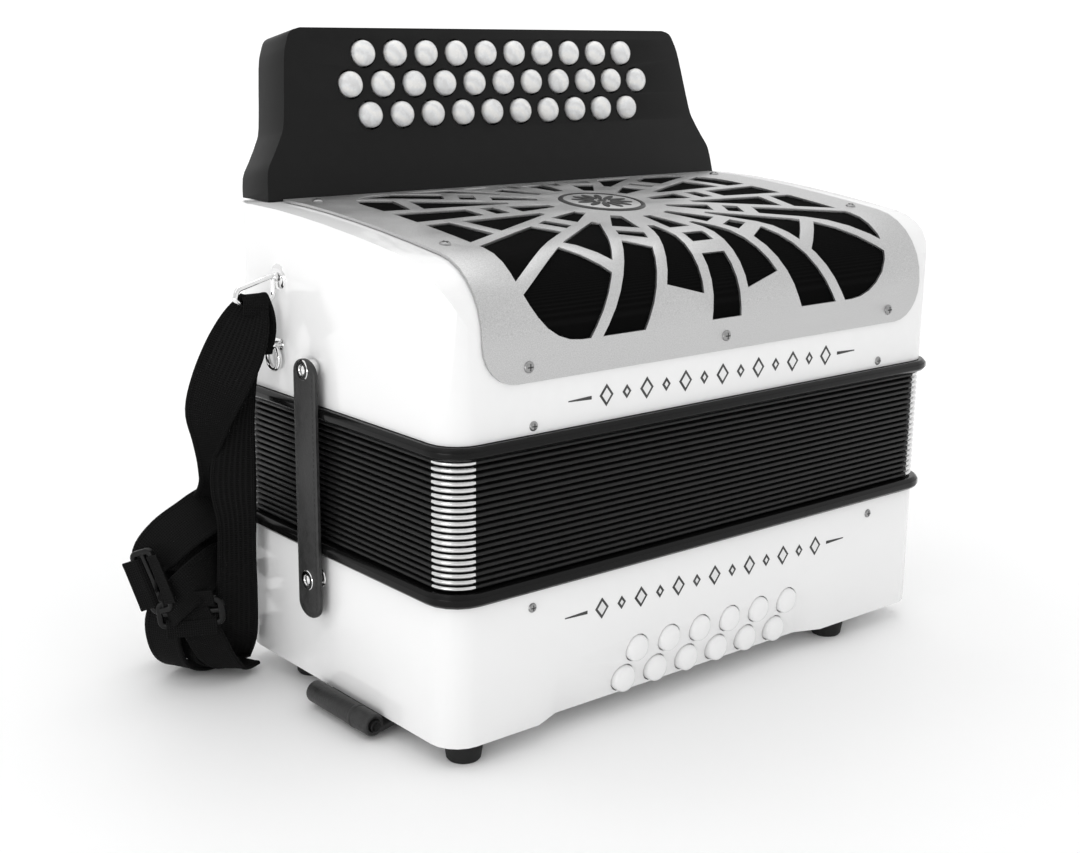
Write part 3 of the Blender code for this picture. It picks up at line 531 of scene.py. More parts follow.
def piece(name, shape, finishes, body, replaces=(), sharp=40):
    """Makes a shape into a piece that rides on a body; finishes are the names its faces' numbers mean."""
    mesh = bpy.data.meshes.new(name)
    mesh.from_pydata([at(point) for point in shape.points], [], shape.faces)
    layer = mesh.uv_layers.new(name="length")
    flat = [corner for uv in shape.uvs for corner in uv]
    for loop, corner in zip(layer.data, flat):
        loop.uv = corner
    mesh.polygons.foreach_set("material_index", shape.paint)
    for finish in finishes:
        mesh.materials.append(FINISHES[finish])
    mark_edges(mesh, sharp)
    made = bpy.data.objects.new(name, mesh)
    bpy.context.scene.collection.objects.link(made)
    if body:
        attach(made, body)
    if replaces:
        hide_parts(*replaces)
    return made


def upright(a, b, height):
    return (a, b, height)


def shifted(place, x, y):
    return lambda a, b, out: place(x + a, y + b, out)


def on_front(x, z, out=0.0):
    return (x, -HALF_Y - out, z)


def on_left(y, z, out=0.0):
    return (-HALF_X - out, y, z)


def on_right(y, z, out=0.0):
    return (HALF_X + out, y, z)


# ---- the frame's own solids ----

SMOOTH_BELOW = math.radians(32)
BEVEL_ABOVE = math.radians(40)
WELD_GAP = 0.01


def smoothing_group():
    """A node group that shades touching facets smooth, except over sharp edges."""
    group = bpy.data.node_groups.new("smooth_facets", "GeometryNodeTree")
    for way in ("INPUT", "OUTPUT"):
        group.interface.new_socket("Geometry", in_out=way, socket_type="NodeSocketGeometry")
    nodes = Nodes(group)
    solid = nodes.node("NodeGroupInput").outputs[0]
    angle = nodes.node("GeometryNodeInputMeshEdgeAngle").outputs["Unsigned Angle"]
    inputs = {0: angle, 1: SMOOTH_BELOW}
    flat = nodes.node("FunctionNodeCompare", inputs, operation="LESS_THAN").outputs[0]
    faces = nodes.node("GeometryNodeSetShadeSmooth", {"Geometry": solid}).outputs[0]
    inputs = {"Geometry": faces, "Shade Smooth": flat}
    edges = nodes.node("GeometryNodeSetShadeSmooth", inputs, domain="EDGE").outputs[0]
    nodes.node("NodeGroupOutput", {0: edges})
    return group


SMOOTHING = smoothing_group()
NODE_FINISH = {
    "bass_casing": ("white_gloss", 0.7),
    "bass_base": ("base_white", 0.5),
    "treble_casing": ("white_gloss", 0.5),
    "bass_frame": ("frame_black", 0.35),
    "treble_frame": ("frame_black", 0.35),
    "bass_reed_board": ("reed_wood", 0.4),
    "treble_reed_board": ("reed_wood", 0.4),
    "fingerboard": ("board_black", 1.4),
    "fingerboard_back": ("board_black", 1.0),
    "grille": ("grille_silver", 0.15),
    "air_button": ("bass_button_white", 0.4),
}


def dress(node, finish, edge):
    """Gives a CAD node its finish, rounds its edges by a width in millimetres and smooths its facets."""
    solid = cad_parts[node]
    solid.data.materials.clear()
    solid.data.materials.append(FINISHES[finish])
    weld = solid.modifiers.new("weld", "WELD")
    weld.merge_threshold = WELD_GAP * MM
    if edge:
        bevel = solid.modifiers.new("edges", "BEVEL")
        bevel.width = edge * MM
        bevel.segments = 3
        bevel.angle_limit = BEVEL_ABOVE
        bevel.use_clamp_overlap = True
    smoothing = solid.modifiers.new("smooth", "NODES")
    smoothing.node_group = SMOOTHING


for node, (finish, edge) in NODE_FINISH.items():
    dress(node, finish, edge)


# ---- bellows ----

FOLDS = 20
BELLOWS_LOW, BELLOWS_HIGH = span("bellows")
FOLD_PITCH = (BELLOWS_HIGH.z - BELLOWS_LOW.z) / FOLDS
RIDGE_PROFILE = ((-2.9, -0.55), (-0.9, -0.92), (-0.3, -0.72), (0.0, -0.3),
                 (0.0, 0.3), (-0.3, 0.72), (-0.9, 0.92), (-2.9, 0.55))
RIDGE_ROOT = -2.0
CLIP_GROWTH = 0.22
CLIP_TURN = (4.0, 86.0)
CLIP_STEPS = 10
VALLEY_DEPTH = 5.6
CARD = 0.42
LIP = 1.3
BEND = 0.3
RIGID_SPAN = 10000.0


def footprint(offset, z, steps=6):
    """The bellows' outline at an offset outwards from its widest, at one height."""
    radius = max(1.2, CORNER + offset)
    outline = rounded(BELLOWS_HIGH.x + offset, BELLOWS_HIGH.y + offset, radius, steps)
    return [(x, y, z) for x, y in outline]


def eased(weight):
    """Where along a blend a point has to lie to follow the far body by a weight from 0 to 1."""
    return 0.5 - math.sin(math.asin(max(-1.0, min(1.0, 1.0 - 2.0 * weight))) / 3.0)


def share(z):
    """How far a height on the closed bellows follows the treble half, from 0 to 1."""
    return (z - BELLOWS_LOW.z) / (BELLOWS_HIGH.z - BELLOWS_LOW.z)


def carry(made, start_z, end_z):
    """Works out a piece's blend between the halves, from its share at one height to its share at the other,
    but uses none of it; it only bakes the piece's placing into its mesh.
    """
    low, high = eased(share(start_z)), eased(share(end_z))
    reach = (end_z - start_z) / (high - low) if end_z > start_z else RIGID_SPAN
    start = start_z - low * reach
    at((0, 0, start))
    at((0, 0, start + reach))
    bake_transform(made)


def make_ridge(number):
    """One fold's bound edge, with a bright metal clip round each corner."""
    z = BELLOWS_LOW.z + (number + 0.5) * FOLD_PITCH
    shape = Shape()
    shape.skin([footprint(out, z + rise) for out, rise in RIDGE_PROFILE])
    reach_x, reach_y = BELLOWS_HIGH.x - CORNER, BELLOWS_HIGH.y - CORNER
    turns = [CLIP_TURN[0] + (CLIP_TURN[1] - CLIP_TURN[0]) * i / CLIP_STEPS for i in range(CLIP_STEPS + 1)]
    for sign_x, sign_y in ((1, 1), (-1, 1), (-1, -1), (1, -1)):
        rings = []
        for i, turn in enumerate(turns):
            swell = CLIP_GROWTH if 0 < i < CLIP_STEPS else CLIP_GROWTH * 0.3
            cos, sin = math.cos(math.radians(turn)) * sign_x, math.sin(math.radians(turn)) * sign_y
            ring = []
            for out, rise in RIDGE_PROFILE:
                radius = CORNER + out + (swell if out > RIDGE_ROOT else 0.0)
                level = z + rise * (1 + swell * 0.5 if out > RIDGE_ROOT else 1)
                ring.append((sign_x * reach_x + radius * cos, sign_y * reach_y + radius * sin, level))
            rings.append(ring)
        shape.skin(rings, 1, False)
    finishes = ("bellows_edge", "clip_metal")
    made = piece(f"bellows_ridge_{number + 1:02d}", shape, finishes, None, ("bellows",))
    carry(made, z, z)


def make_fold(number):
    """The folded card between two ridges, or between a frame and the ridge next to it."""
    low = BELLOWS_LOW.z + max(0.0, number - 0.5) * FOLD_PITCH
    high = BELLOWS_LOW.z + min(FOLDS, number + 0.5) * FOLD_PITCH
    shape = Shape()
    if number in (0, FOLDS):
        deep, shallow, face = (low, high, 1) if number == 0 else (high, low, -1)
        profile = ((-VALLEY_DEPTH, deep), (-LIP, shallow - face * CARD), (-LIP, shallow),
                   (-VALLEY_DEPTH - CARD, deep + face * CARD))
    else:
        middle, valley, half = (low + high) / 2, -VALLEY_DEPTH, BEND * 0.4
        profile = ((-LIP, low), (-LIP, low + CARD), (valley + BEND, middle - half), (valley, middle),
                   (valley + BEND, middle + half), (-LIP, high - CARD), (-LIP, high),
                   (valley - CARD, middle + BEND), (valley - CARD, middle - BEND))
    shape.skin([footprint(out, z) for out, z in profile])
    made = piece(f"bellows_fold_{number + 1:02d}", shape, ("bellows_black",), None, ("bellows",), 25)
    carry(made, low, high)


for number in range(FOLDS):
    make_ridge(number)
for number in range(FOLDS + 1):
    make_fold(number)


# ---- fingerboard and treble keys ----

BOARD_FRONT = (66.8, 226.0)
BOARD_TILT = math.radians(11.4)
KEY_ROWS = ((1, 10, -1, 42.0), (11, 11, 0, 18.0), (22, 10, 1, -6.0))
KEY_PITCH = 18.6
ROW_STEP = 14.73
MIDDLE_RUN = 52.96
LEVER_DEPTH = 10.9
LEVER_HALF = 1.1
LEVER_OFFSET = 3.1
LEVER_BEND = 6.0
LEVER_TIP = 2.0
PIVOT_RUN = -14.3
PALLET_TOP = 152.0
PALLET_BOTTOM = 148.4
PALLET_FELT = 1.4
PALLET_HALF = (5.0, 7.0)
DOME = ((0.3, 4.1), (1.6, 4.05), (3.0, 3.78), (4.3, 3.3), (5.3, 2.65), (5.9, 1.9), (6.15, 1.1), (6.2, 0.3),
        (6.2, -5.0), (5.8, -5.5), (0.3, -5.5))


def on_board(x, run, out=0.0):
    """A place on the fingerboard's slope: across, up it, and out of its front."""
    sin, cos = math.sin(BOARD_TILT), math.cos(BOARD_TILT)
    return (x, BOARD_FRONT[0] + run * sin - out * cos, BOARD_FRONT[1] + run * cos + out * sin)


def make_key(number, x, row, pallet_y):
    """A pearl button on its stem, the bent lever that it works, and the pallet on the lever's end."""
    run = MIDDLE_RUN + row * ROW_STEP
    rod_x = x + row * LEVER_OFFSET
    shape = Shape()
    shape.turned(DOME, lambda a, b, out: on_board(x + a, run + b, out), 0, 36)
    stem = rounded(abs(rod_x - x) / 2 + 1.5, 1.5, 0.6, 2, ((rod_x + x) / 2, run))
    shape.slab(stem, -LEVER_DEPTH - 1.2, -5.0, on_board, 1, 0.2)
    top = Vector(on_board(rod_x, run + LEVER_TIP, -LEVER_DEPTH))
    pivot = Vector(on_board(rod_x, PIVOT_RUN, -LEVER_DEPTH))
    end = Vector((rod_x, pallet_y, PALLET_TOP - 1.4))
    upward, inward = (top - pivot).normalized(), (end - pivot).normalized()
    path = [top, top.lerp(pivot, 0.5), pivot + upward * LEVER_BEND, pivot + (upward + inward),
            pivot + inward * LEVER_BEND, pivot.lerp(end, 0.5), end]
    shape.sweep(path, (1, 0, 0), rounded(LEVER_HALF, LEVER_HALF, 0.4, 2), 1)
    plate = rounded(PALLET_HALF[0], PALLET_HALF[1], 0.8, 2, (rod_x, pallet_y))
    felt_top = PALLET_BOTTOM + PALLET_FELT
    shape.slab(plate, felt_top, PALLET_TOP, upright, 2, 0.3)
    shape.slab(inset(plate, 0.2), PALLET_BOTTOM, felt_top, upright, 3, 0.2)
    piece(f"treble_key_{number:02d}_body", shape, ("pearl_button", "steel", "reed_wood", "felt"),
          f"key_{number:02d}", (f"treble_key_{number:02d}",))


for first, count, row, pallet_y in KEY_ROWS:
    for i in range(count):
        make_key(first + i, (i - (count - 1) / 2) * KEY_PITCH, row, pallet_y)

BASS_COLUMNS = 6
BASS_PITCH = 20.2
BASS_ROWS = ((1, 2.0, 30.8), (7, -4.0, 16.8))
BASS_DOME = ((0.3, 0.0), (1.9, -0.06), (3.4, -0.28), (4.7, -0.66), (5.6, -1.15), (6.1, -1.75), (6.3, -2.5),
             (6.3, -9.4), (6.1, -9.8), (2.0, -10.0), (2.0, -19.0), (0.3, -19.0))


def make_bass_button(number, x, z):
    """A white domed button on its stem."""
    low, _ = span(f"bass_button_{number:02d}")
    shape = Shape()
    shape.turned(BASS_DOME, lambda a, b, out: (x + a, low.y - out, z + b), 0, 36)
    piece(f"bass_button_{number:02d}_body", shape, ("bass_button_white",), f"bass_key_{number:02d}",
          (f"bass_button_{number:02d}",))


for first, shift, z in BASS_ROWS:
    for i in range(BASS_COLUMNS):
        make_bass_button(first + i, (i - (BASS_COLUMNS - 1) / 2) * BASS_PITCH + shift, z)

AXLE_HALF = 108.0
AXLE_END = 0.4
AXLE_DROP = 2.4


def make_axle():
    """The rod behind the levers' pivots."""
    shape = Shape()
    _, y, z = on_board(0.0, PIVOT_RUN, -LEVER_DEPTH - AXLE_DROP)
    flat = AXLE_HALF - AXLE_END
    profile = ((1.0, -AXLE_HALF), (1.2, -flat), (1.2, flat), (1.0, AXLE_HALF))
    shape.turned(profile, lambda a, b, out: (out, y + a, z + b), 0, 16)
    piece("lever_axle", shape, ("steel",), "treble_half")


make_axle()


# ---- cloth, badge, screws and ornament ----

ROOF_BACK = (60.0, 225.6)
ROOF_MID = (61.0, 3.7, 1.6)
ROOF_EDGE = 32.0
ROOF_EDGE_START = 0.14
ROOF_STEPS = 12
ROOF_EDGE_STEPS = 14
ROOF_ENDS = (66.0, 150.0)
CLOTH_HALF = 128.0
CLOTH_BACK_Y = 62.0
CLOTH_FRONT_Z = 170.0
CLOTH_STEPS = 48
CLOTH_COLUMNS = 12
CLOTH_LEVELS = (0.06, 0.22)


def roof_height(y):
    run, drop, power = ROOF_MID
    return ROOF_BACK[1] - drop * (max(ROOF_BACK[0] - y, 0.0) / run) ** power


def roof_line(back_y, front_z):
    """(y, z) points over the treble casing's roof, from its back and round its front edge."""
    centre_y = -HALF_Y + ROOF_EDGE
    start_y = centre_y - ROOF_EDGE * ROOF_EDGE_START
    turn = math.asin(ROOF_EDGE_START)
    centre_z = roof_height(start_y) - ROOF_EDGE * math.cos(turn)
    tops = [back_y + (start_y - back_y) * i / ROOF_STEPS for i in range(ROOF_STEPS)]
    points = [(y, roof_height(y)) for y in tops]
    for i in range(ROOF_EDGE_STEPS + 1):
        angle = turn + (math.pi / 2 - turn) * i / ROOF_EDGE_STEPS
        points.append((centre_y - ROOF_EDGE * math.sin(angle), centre_z + ROOF_EDGE * math.cos(angle)))
    points.append((-HALF_Y, front_z))
    return points


ROOF = [Vector(point) for point in roof_line(*ROOF_ENDS)]
RUNS = [0.0]
for before, after in zip(ROOF, ROOF[1:]):
    RUNS.append(RUNS[-1] + (after - before).length)


def run_at(y=None, z=None):
    """The distance along the roof line of a y on its top, or of a z on its front."""
    for i in range(len(ROOF) - 1):
        low, high = ROOF[i], ROOF[i + 1]
        if y is not None and low.x >= y >= high.x and low.x > high.x:
            return RUNS[i] + (RUNS[i + 1] - RUNS[i]) * (low.x - y) / (low.x - high.x)
        if z is not None and i > ROOF_STEPS + 8 and low.y >= z >= high.y:
            return RUNS[i] + (RUNS[i + 1] - RUNS[i]) * (low.y - z) / (low.y - high.y)
    return RUNS[-1]


def on_roof(x, run, out=0.0):
    """A place over the roof: across, along the roof line, and out of it."""
    i = next((k for k in range(len(RUNS) - 1) if RUNS[k + 1] >= run), len(RUNS) - 2)
    part = (run - RUNS[i]) / (RUNS[i + 1] - RUNS[i])
    point = ROOF[i].lerp(ROOF[i + 1], part)
    before = ROOF[min(i + 1, len(ROOF) - 1)] - ROOF[i]
    ahead = ROOF[min(i + 2, len(ROOF) - 1)] - ROOF[min(i + 1, len(ROOF) - 2)]
    along = before.normalized().lerp(ahead.normalized(), max(0.0, part)).normalized()
    return (x, point.x + along.y * out, point.y - along.x * out)


def make_grille_cloth():
    """Black cloth stretched under the grille."""
    back, front = run_at(y=CLOTH_BACK_Y), run_at(z=CLOTH_FRONT_Z)
    low, high = CLOTH_LEVELS
    shape = Shape()
    rings = []
    across = [-CLOTH_HALF + 2 * CLOTH_HALF * j / CLOTH_COLUMNS for j in range(CLOTH_COLUMNS + 1)]
    for i in range(CLOTH_STEPS + 1):
        run = back + (front - back) * i / CLOTH_STEPS
        above = [on_roof(x, run, high) for x in across]
        below = [on_roof(x, run, low) for x in reversed(across)]
        rings.append(above + below)
    shape.skin(rings, 0, False)
    cloth = piece("grille_cloth", shape, ("grille_cloth",), "treble_half")


SCREW_DOME = ((0.3, 1.15), (1.3, 1.05), (2.1, 0.75), (2.5, 0.3), (2.55, 0.0), (0.3, 0.0))
# Half length and half width of the dark cross on a screw's head, which is painted shade for the slot.
SCREW_SLOT_SHADE = (1.5, 0.32)


def make_screw(name, place, body, size=1.0):
    """A small pan-head screw whose cross slot is painted shade: a dark cross plate set into the head, its
    top just above the dome, in place of a hollow.
    """
    shape = Shape()
    shape.turned([(radius * size, height * size) for radius, height in SCREW_DOME], place, 0, 24)
    long, wide = SCREW_SLOT_SHADE[0] * size, SCREW_SLOT_SHADE[1] * size
    top = SCREW_DOME[0][1] * size
    # Painted shade: the slot is a dark plate on the head, not a recess.
    for half_a, half_b in ((long, wide), (wide, long)):
        shape.slab(rounded(half_a, half_b, 0.1 * size, 1), top * 0.72, top + 0.03, place, 1, 0.02)
    piece(name, shape, ("screw_metal", "ink_and_slot_shade"), body)


GRILLE_OUT = 1.5


def on_grille(x, run, out):
    return on_roof(x, run, out + GRILLE_OUT)


SCREWS_FRONT = [(x, run_at(z=170.6)) for x in (-115.8, 0.0, 115.8)]
SCREWS_SIDE = [(x, run_at(y=y)) for y in (50.0, -48.0) for x in (-129.5, 129.5)]
CASING_SCREWS = ((-111.5, 64.9, "bass_half"), (111.5, 64.9, "bass_half"),
                 (-111.9, 144.9, "treble_half"), (111.9, 144.9, "treble_half"))


def make_screws():
    for number, (x, run) in enumerate(SCREWS_FRONT + SCREWS_SIDE, start=1):
        make_screw(f"grille_screw_{number}", shifted(on_grille, x, run), "treble_half")
    for number, (x, z, body) in enumerate(CASING_SCREWS, start=1):
        for side, sign in (("front", -1), ("back", 1)):
            def on_wall(a, b, out):
                return (x - sign * a, sign * (HALF_Y + out), z + b)
            make_screw(f"casing_screw_{side}_{number}", on_wall, body, 0.85)


BADGE_RUN = run_at(y=-0.5)
BADGE_RIM = ((19.0, 0.1), (19.3, 0.75), (20.6, 0.8), (21.2, 0.5), (21.5, -0.02), (19.0, -0.02))
PETALS = 12
PETAL_MIDDLE = 9.6
PETAL_HALF = (5.6, 1.75)


def make_badge():
    """A plain round badge on the grille: a dark ring round a rosette of petals."""
    shape = Shape()
    place = shifted(on_grille, 0.0, BADGE_RUN)
    shape.turned(((0.5, 0.55), (18.6, 0.55), (19.0, 0.35), (19.0, -0.02), (0.5, -0.02)), place, 0, 64)
    shape.skin([[place(a, b, h) for a, b in circle(radius, 64)] for radius, h in BADGE_RIM], 1, True)
    petal = [(PETAL_MIDDLE + PETAL_HALF[0] * a, PETAL_HALF[1] * b) for a, b in circle(1.0, 20)]
    for number in range(PETALS):
        turn = 2 * math.pi * number / PETALS
        cos, sin = math.cos(turn), math.sin(turn)
        spun = [(a * cos - b * sin, a * sin + b * cos) for a, b in petal]
        shape.slab(spun, 0.5, 0.85, place, 1, 0.12)
    shape.turned(((0.3, 1.0), (1.8, 0.95), (2.6, 0.5), (2.6, 0.4), (0.3, 0.4)), place, 1, 24)
    piece("badge", shape, ("grille_silver", "ink_and_slot_shade"), "treble_half")


ORNAMENT_HALF = 93.0
ORNAMENT_OUT = 0.16
ORNAMENT_LINE = 1.1
ORNAMENT_STEP = 0.128
ORNAMENT_RULE = 0.86
LOZENGES = 13
LOZENGE_REACH = (5.0, 3.2)


def make_ornament(name, z, body):
    """A row of lozenges between two thin rules: dark plates, the lozenges inlaid with silver ones."""
    shape = Shape()
    for i in range(LOZENGES):
        reach = LOZENGE_REACH[i % 2]
        x = (i - LOZENGES // 2) * ORNAMENT_HALF * ORNAMENT_STEP
        outline = [(x + reach * 0.8, z), (x, z + reach), (x - reach * 0.8, z), (x, z - reach)]
        shape.slab(outline, -0.05, ORNAMENT_OUT, on_front, 0, 0.05)
        inlay = inset(outline, ORNAMENT_LINE)
        shape.slab(inlay, ORNAMENT_OUT - 0.05, ORNAMENT_OUT + 0.04, on_front, 1, 0.02)
    for sign in (-1, 1):
        start, end = sign * ORNAMENT_HALF * ORNAMENT_RULE, sign * ORNAMENT_HALF
        outline = [(start, z - 0.8), (end, z - 0.25), (end, z + 0.25), (start, z + 0.8)]
        shape.slab(outline[::sign], -0.05, ORNAMENT_OUT, on_front, 0, 0.05)
    piece(name, shape, ("ink_and_slot_shade", "inlay_silver"), body)


make_grille_cloth()
make_screws()
make_badge()
make_ornament("ornament_treble", 152.6, "treble_half")
make_ornament("ornament_bass", 55.5, "bass_half")

FOOT_PLACES = [(x, y) for x in (-140.0, 97.0) for y in (-74.5, 47.0)]
FOOT_PROFILE = ((0.3, 9.28), (8.4, 9.28), (8.75, 8.9), (8.7, 8.0), (7.6, 0.9), (7.0, 0.05),
                (5.2, 0.02), (4.6, 0.5), (0.3, 0.5))


def make_feet():
    """Tapered rubber feet with a hollow under each."""
    for number, (x, y) in enumerate(FOOT_PLACES, start=1):
        shape = Shape()
        shape.turned(FOOT_PROFILE, shifted(upright, x, y), 0, 40)
        piece(f"foot_{number}", shape, ("rubber",), "bass_half")


make_feet()


# ---- closing straps and hand strap ----

CLOSER_Y = 14.5
CLOSER_HALF = 8.75
CLOSER_BLUNT = 0.75
CLOSER_ENDS = (40.0, 165.0)
CLOSER_PIVOT_Z = 157.9
CLOSER_SNAP_Z = 60.3
CLOSER_INNER = 159.0
CLOSER_STEPS = 12
CLOSER_TOP = 2.3
CLOSER_SEAM = 1.9
CLOSER_LEVELS = ((0.5, 0.0), (0.0, 0.45), (0.0, 1.75), (0.35, 2.15), (1.0, CLOSER_TOP),
                 (CLOSER_SEAM, CLOSER_TOP - 0.12), (2.6, CLOSER_TOP))
CLOSER_CAP = ((0.3, CLOSER_TOP + 0.9), (1.3, CLOSER_TOP + 0.75), (2.0, CLOSER_TOP + 0.35),
              (2.2, CLOSER_TOP - 0.2), (0.3, CLOSER_TOP - 0.2))
CLOSER_BOSS = ((0.3, -3.6), (4.3, -3.6), (4.4, -3.4), (4.4, 0.2), (0.3, 0.2))


def closer_outline(inset_by=0.0):
    """A strap's outline with two round ends, in (y, z), anticlockwise."""
    half = CLOSER_HALF - inset_by
    bottom, top = CLOSER_ENDS
    points = []
    for sign, level in ((1, top - CLOSER_HALF), (-1, bottom + CLOSER_HALF)):
        for i in range(CLOSER_STEPS + 1):
            turn = math.pi * i / CLOSER_STEPS
            points.append((CLOSER_Y + sign * half * math.cos(turn),
                           level + sign * half * CLOSER_BLUNT * math.sin(turn)))
    return points


def ringed(shape, place, inner, outer, low, high, paint, steps=32):
    """A round washer with eased edges."""
    ease = (high - low) * 0.3
    profile = [(inner, low), (inner, high - ease), (inner + ease, high),
               (outer - ease, high), (outer, high - ease), (outer, low)]
    shape.skin([[place(a, b, h) for a, b in circle(radius, steps)] for radius, h in profile], paint, True)


THREAD_HALF = 0.22


def stitches(shape, outline, place, out, paint, pitch=2.6, length=1.5):
    """Short raised stitches along a closed outline."""
    points = [Vector(point) for point in outline + outline[:1]]
    travelled, wanted = 0.0, 0.0
    for before, after in zip(points, points[1:]):
        leg = (after - before).length
        along = (after - before).normalized()
        side = Vector((-along.y, along.x)) * THREAD_HALF
        while wanted <= travelled + leg:
            middle = before + along * (wanted - travelled)
            start, end = middle - along * length / 2, middle + along * length / 2
            corners = [tuple(corner) for corner in (start - side, end - side, end + side, start + side)]
            shape.slab(corners, out - 0.1, out + 0.16, place, paint, 0.1)
            wanted += pitch
        travelled += leg


def make_closer(name, side):
    """A leather strap that holds the bellows shut, on a pivot screw, with a snap stud near its free end."""
    def place(a, b, out):
        return (side * (CLOSER_INNER + out), a if side < 0 else 2 * CLOSER_Y - a, b)
    shape = Shape()
    rings = [[place(a, b, h) for a, b in closer_outline(move)] for move, h in CLOSER_LEVELS]
    shape.skin(rings, 0, False)
    stitches(shape, closer_outline(CLOSER_SEAM), place, CLOSER_TOP - 0.12, 2)
    for z in (CLOSER_PIVOT_Z, CLOSER_SNAP_Z):
        seat = shifted(place, CLOSER_Y, z)
        ringed(shape, seat, 2.3, 4.6, CLOSER_TOP - 0.2, CLOSER_TOP + 0.7, 1)
        shape.turned(CLOSER_CAP, seat, 1, 24)
    shape.turned(CLOSER_BOSS, shifted(place, CLOSER_Y, CLOSER_PIVOT_Z), 1, 24)
    finishes = ("strap_leather", "chrome_ring", "thread")
    piece(f"{name}_closing_strap", shape, finishes, f"{name}_closer", (f"closing_strap_{name}",))


make_closer("left", -1)
make_closer("right", 1)

STUD = ((0.3, 3.4), (2.6, 3.3), (3.4, 2.6), (2.6, 1.9), (2.6, 0.6), (4.6, 0.4), (4.8, 0.0), (0.3, 0.0))


def make_studs():
    """The stud that each closing strap's snap grips, on the bass casing."""
    for name, place in (("stud_left", on_left), ("stud_right", on_right)):
        shape = Shape()
        shape.turned(STUD, shifted(place, CLOSER_Y, CLOSER_SNAP_Z), 0, 32)
        piece(name, shape, ("chrome_ring",), "bass_half")


make_studs()

HAND_Y = (-37.0, 12.0)
HAND_BAND = (3.7, 7.1)
HAND_ROLL = (160.6, 6.9, 5.3)
HAND_SEAM = 13.0
HAND_X = (-150.0, -110.0, -70.0, -30.0, 0.0, 30.0, 70.0, 110.0, 150.0)
ROLL_STEPS = 28
ROLL_START = -35
ROLL_STEP = 12


def roll_path(sign, y, reach):
    """The band's centre line from under the base, round the bar and nearly back to itself."""
    roll_x, roll_z, _ = HAND_ROLL
    path = [Vector((sign * HAND_X[-1], y, sum(HAND_BAND) / 2))]
    for i in range(ROLL_STEPS):
        turn = math.radians(ROLL_START + ROLL_STEP * i)
        path.append(Vector((sign * (roll_x + reach * math.sin(turn)), y, roll_z - reach * math.cos(turn))))
    return path


def make_hand_strap():
    """A leather band under the base; each end goes round a bar and back under itself."""
    low_y, high_y = HAND_Y
    middle, half = (low_y + high_y) / 2, (high_y - low_y) / 2
    roll_x, roll_z, radius = HAND_ROLL
    shape = Shape()
    path = [Vector((x, middle, sum(HAND_BAND) / 2)) for x in HAND_X]
    shape.sweep(path, (0, 1, 0), rounded(half - 1.5, 1.55, 1.2, 4), 0)
    for sign in (-1, 1):
        shape.sweep(roll_path(sign, middle, radius - 1.35), (0, 1, 0), rounded(half, 1.25, 1.0, 3))
        seam = roll_path(sign, low_y + HAND_SEAM, radius - 1.0)
        shape.sweep(seam, (0, 1, 0), rounded(1.1, 1.2, 0.5, 3))
        end = half + 1.6

        def on_bar(a, b, out):
            return sign * (roll_x + a), middle + out, roll_z + b

        half_bar = ((2.7, end - 0.4), (2.3, end), (1.1, end - 1.0))
        shape.turned([(radius, -out) for radius, out in reversed(half_bar)] + list(half_bar), on_bar, 1, 24)
    stitched = rounded(HAND_X[-1], half - 5.0, 3.0, 3, (0.0, middle))
    stitches(shape, stitched, lambda a, b, out: (a, b, HAND_BAND[0] + 0.15 - out), 0.0, 2, 3.2, 1.9)
    finishes = ("strap_leather", "moulded_black", "thread")
    piece("hand_strap_band", shape, finishes, "bass_half", ("hand_strap",))


make_hand_strap()


# ---- strap bracket and shoulder straps ----

RING_Y = 44.0
RING_PIVOT_Z = 195.0
RING_WIRE = 1.3
RING_CORNERS = ((-157.6, 196.0), (-176.2, 191.0), (-177.4, 186.4),
                (-175.0, 185.0), (-160.5, 184.2), (-157.8, 186.6))
PLATE_PROFILE = ((0.3, 0.9), (3.6, 0.9), (4.6, 0.75), (5.6, 0.4), (5.9, 0.0), (0.3, 0.0))
PLATE_STUD = ((0.3, 3.0), (1.2, 2.95), (1.9, 2.6), (2.1, 2.1),
              (2.1, 1.6), (1.2, 1.4), (1.2, 0.5), (0.3, 0.5))
STAPLE = ((-3.0, 0.3), (-2.6, 3.6), (0.0, 4.5), (2.6, 3.6), (3.0, 0.3))
STRAP_THICKNESS = 1.9
STRAP_STEPS = 44
STRAP_CUT_Z = 150.0
LOOP_BAR = (-168.0, 185.2)
LOOP_END_STEPS = 12


def make_bracket(name, side, y, z):
    """A round chrome plate on the casing's end with a stud through its middle."""
    place = shifted(on_left if side < 0 else on_right, y, z)
    shape = Shape()
    shape.turned(PLATE_PROFILE, place, 0, 40)
    shape.turned(PLATE_STUD, place, 0, 24)
    piece(name, shape, ("chrome_ring",), "treble_half")


def make_ring():
    """The bent wire loop that the straps hang from."""
    corners = [Vector((x, RING_Y, z)) for x, z in RING_CORNERS]
    rounded_path = []
    for i, corner in enumerate(corners):
        before, after = corners[i - 1], corners[(i + 1) % len(corners)]
        bend = min(2.2, (corner - before).length * 0.4, (after - corner).length * 0.4)
        start = corner + (before - corner).normalized() * bend
        end = corner + (after - corner).normalized() * bend
        rounded_path += [start.lerp(corner, t / 4).lerp(corner.lerp(end, t / 4), t / 4) for t in range(5)]
    shape = Shape()
    shape.wire(rounded_path, RING_WIRE, (0, 1, 0), 0, True, 16)
    piece("strap_loop", shape, ("chrome_ring",), "ring", ("strap_ring",))


def make_hanging_ring(name, side, y, z, radius):
    """A small wire ring under its own staple, at rest against the end wall."""
    place = on_left if side < 0 else on_right
    shape = Shape()
    path = [place(y + b, z - radius + a, 2.6) for a, b in circle(radius, 40)]
    shape.wire(path, 1.25, (1, 0, 0), 0, True, 14)
    staple = [place(y + across, z + 0.6, out) for across, out in STAPLE]
    shape.wire(smooth(staple, 18), 0.9, (0, 0, 1), 0, False, 12)
    shape.slab(rounded(5.4, 2.6, 2.4, 5, (y, z + 0.6)), 0.0, 0.5, place, 0, 0.15)
    piece(name, shape, ("chrome_ring",), "treble_half")


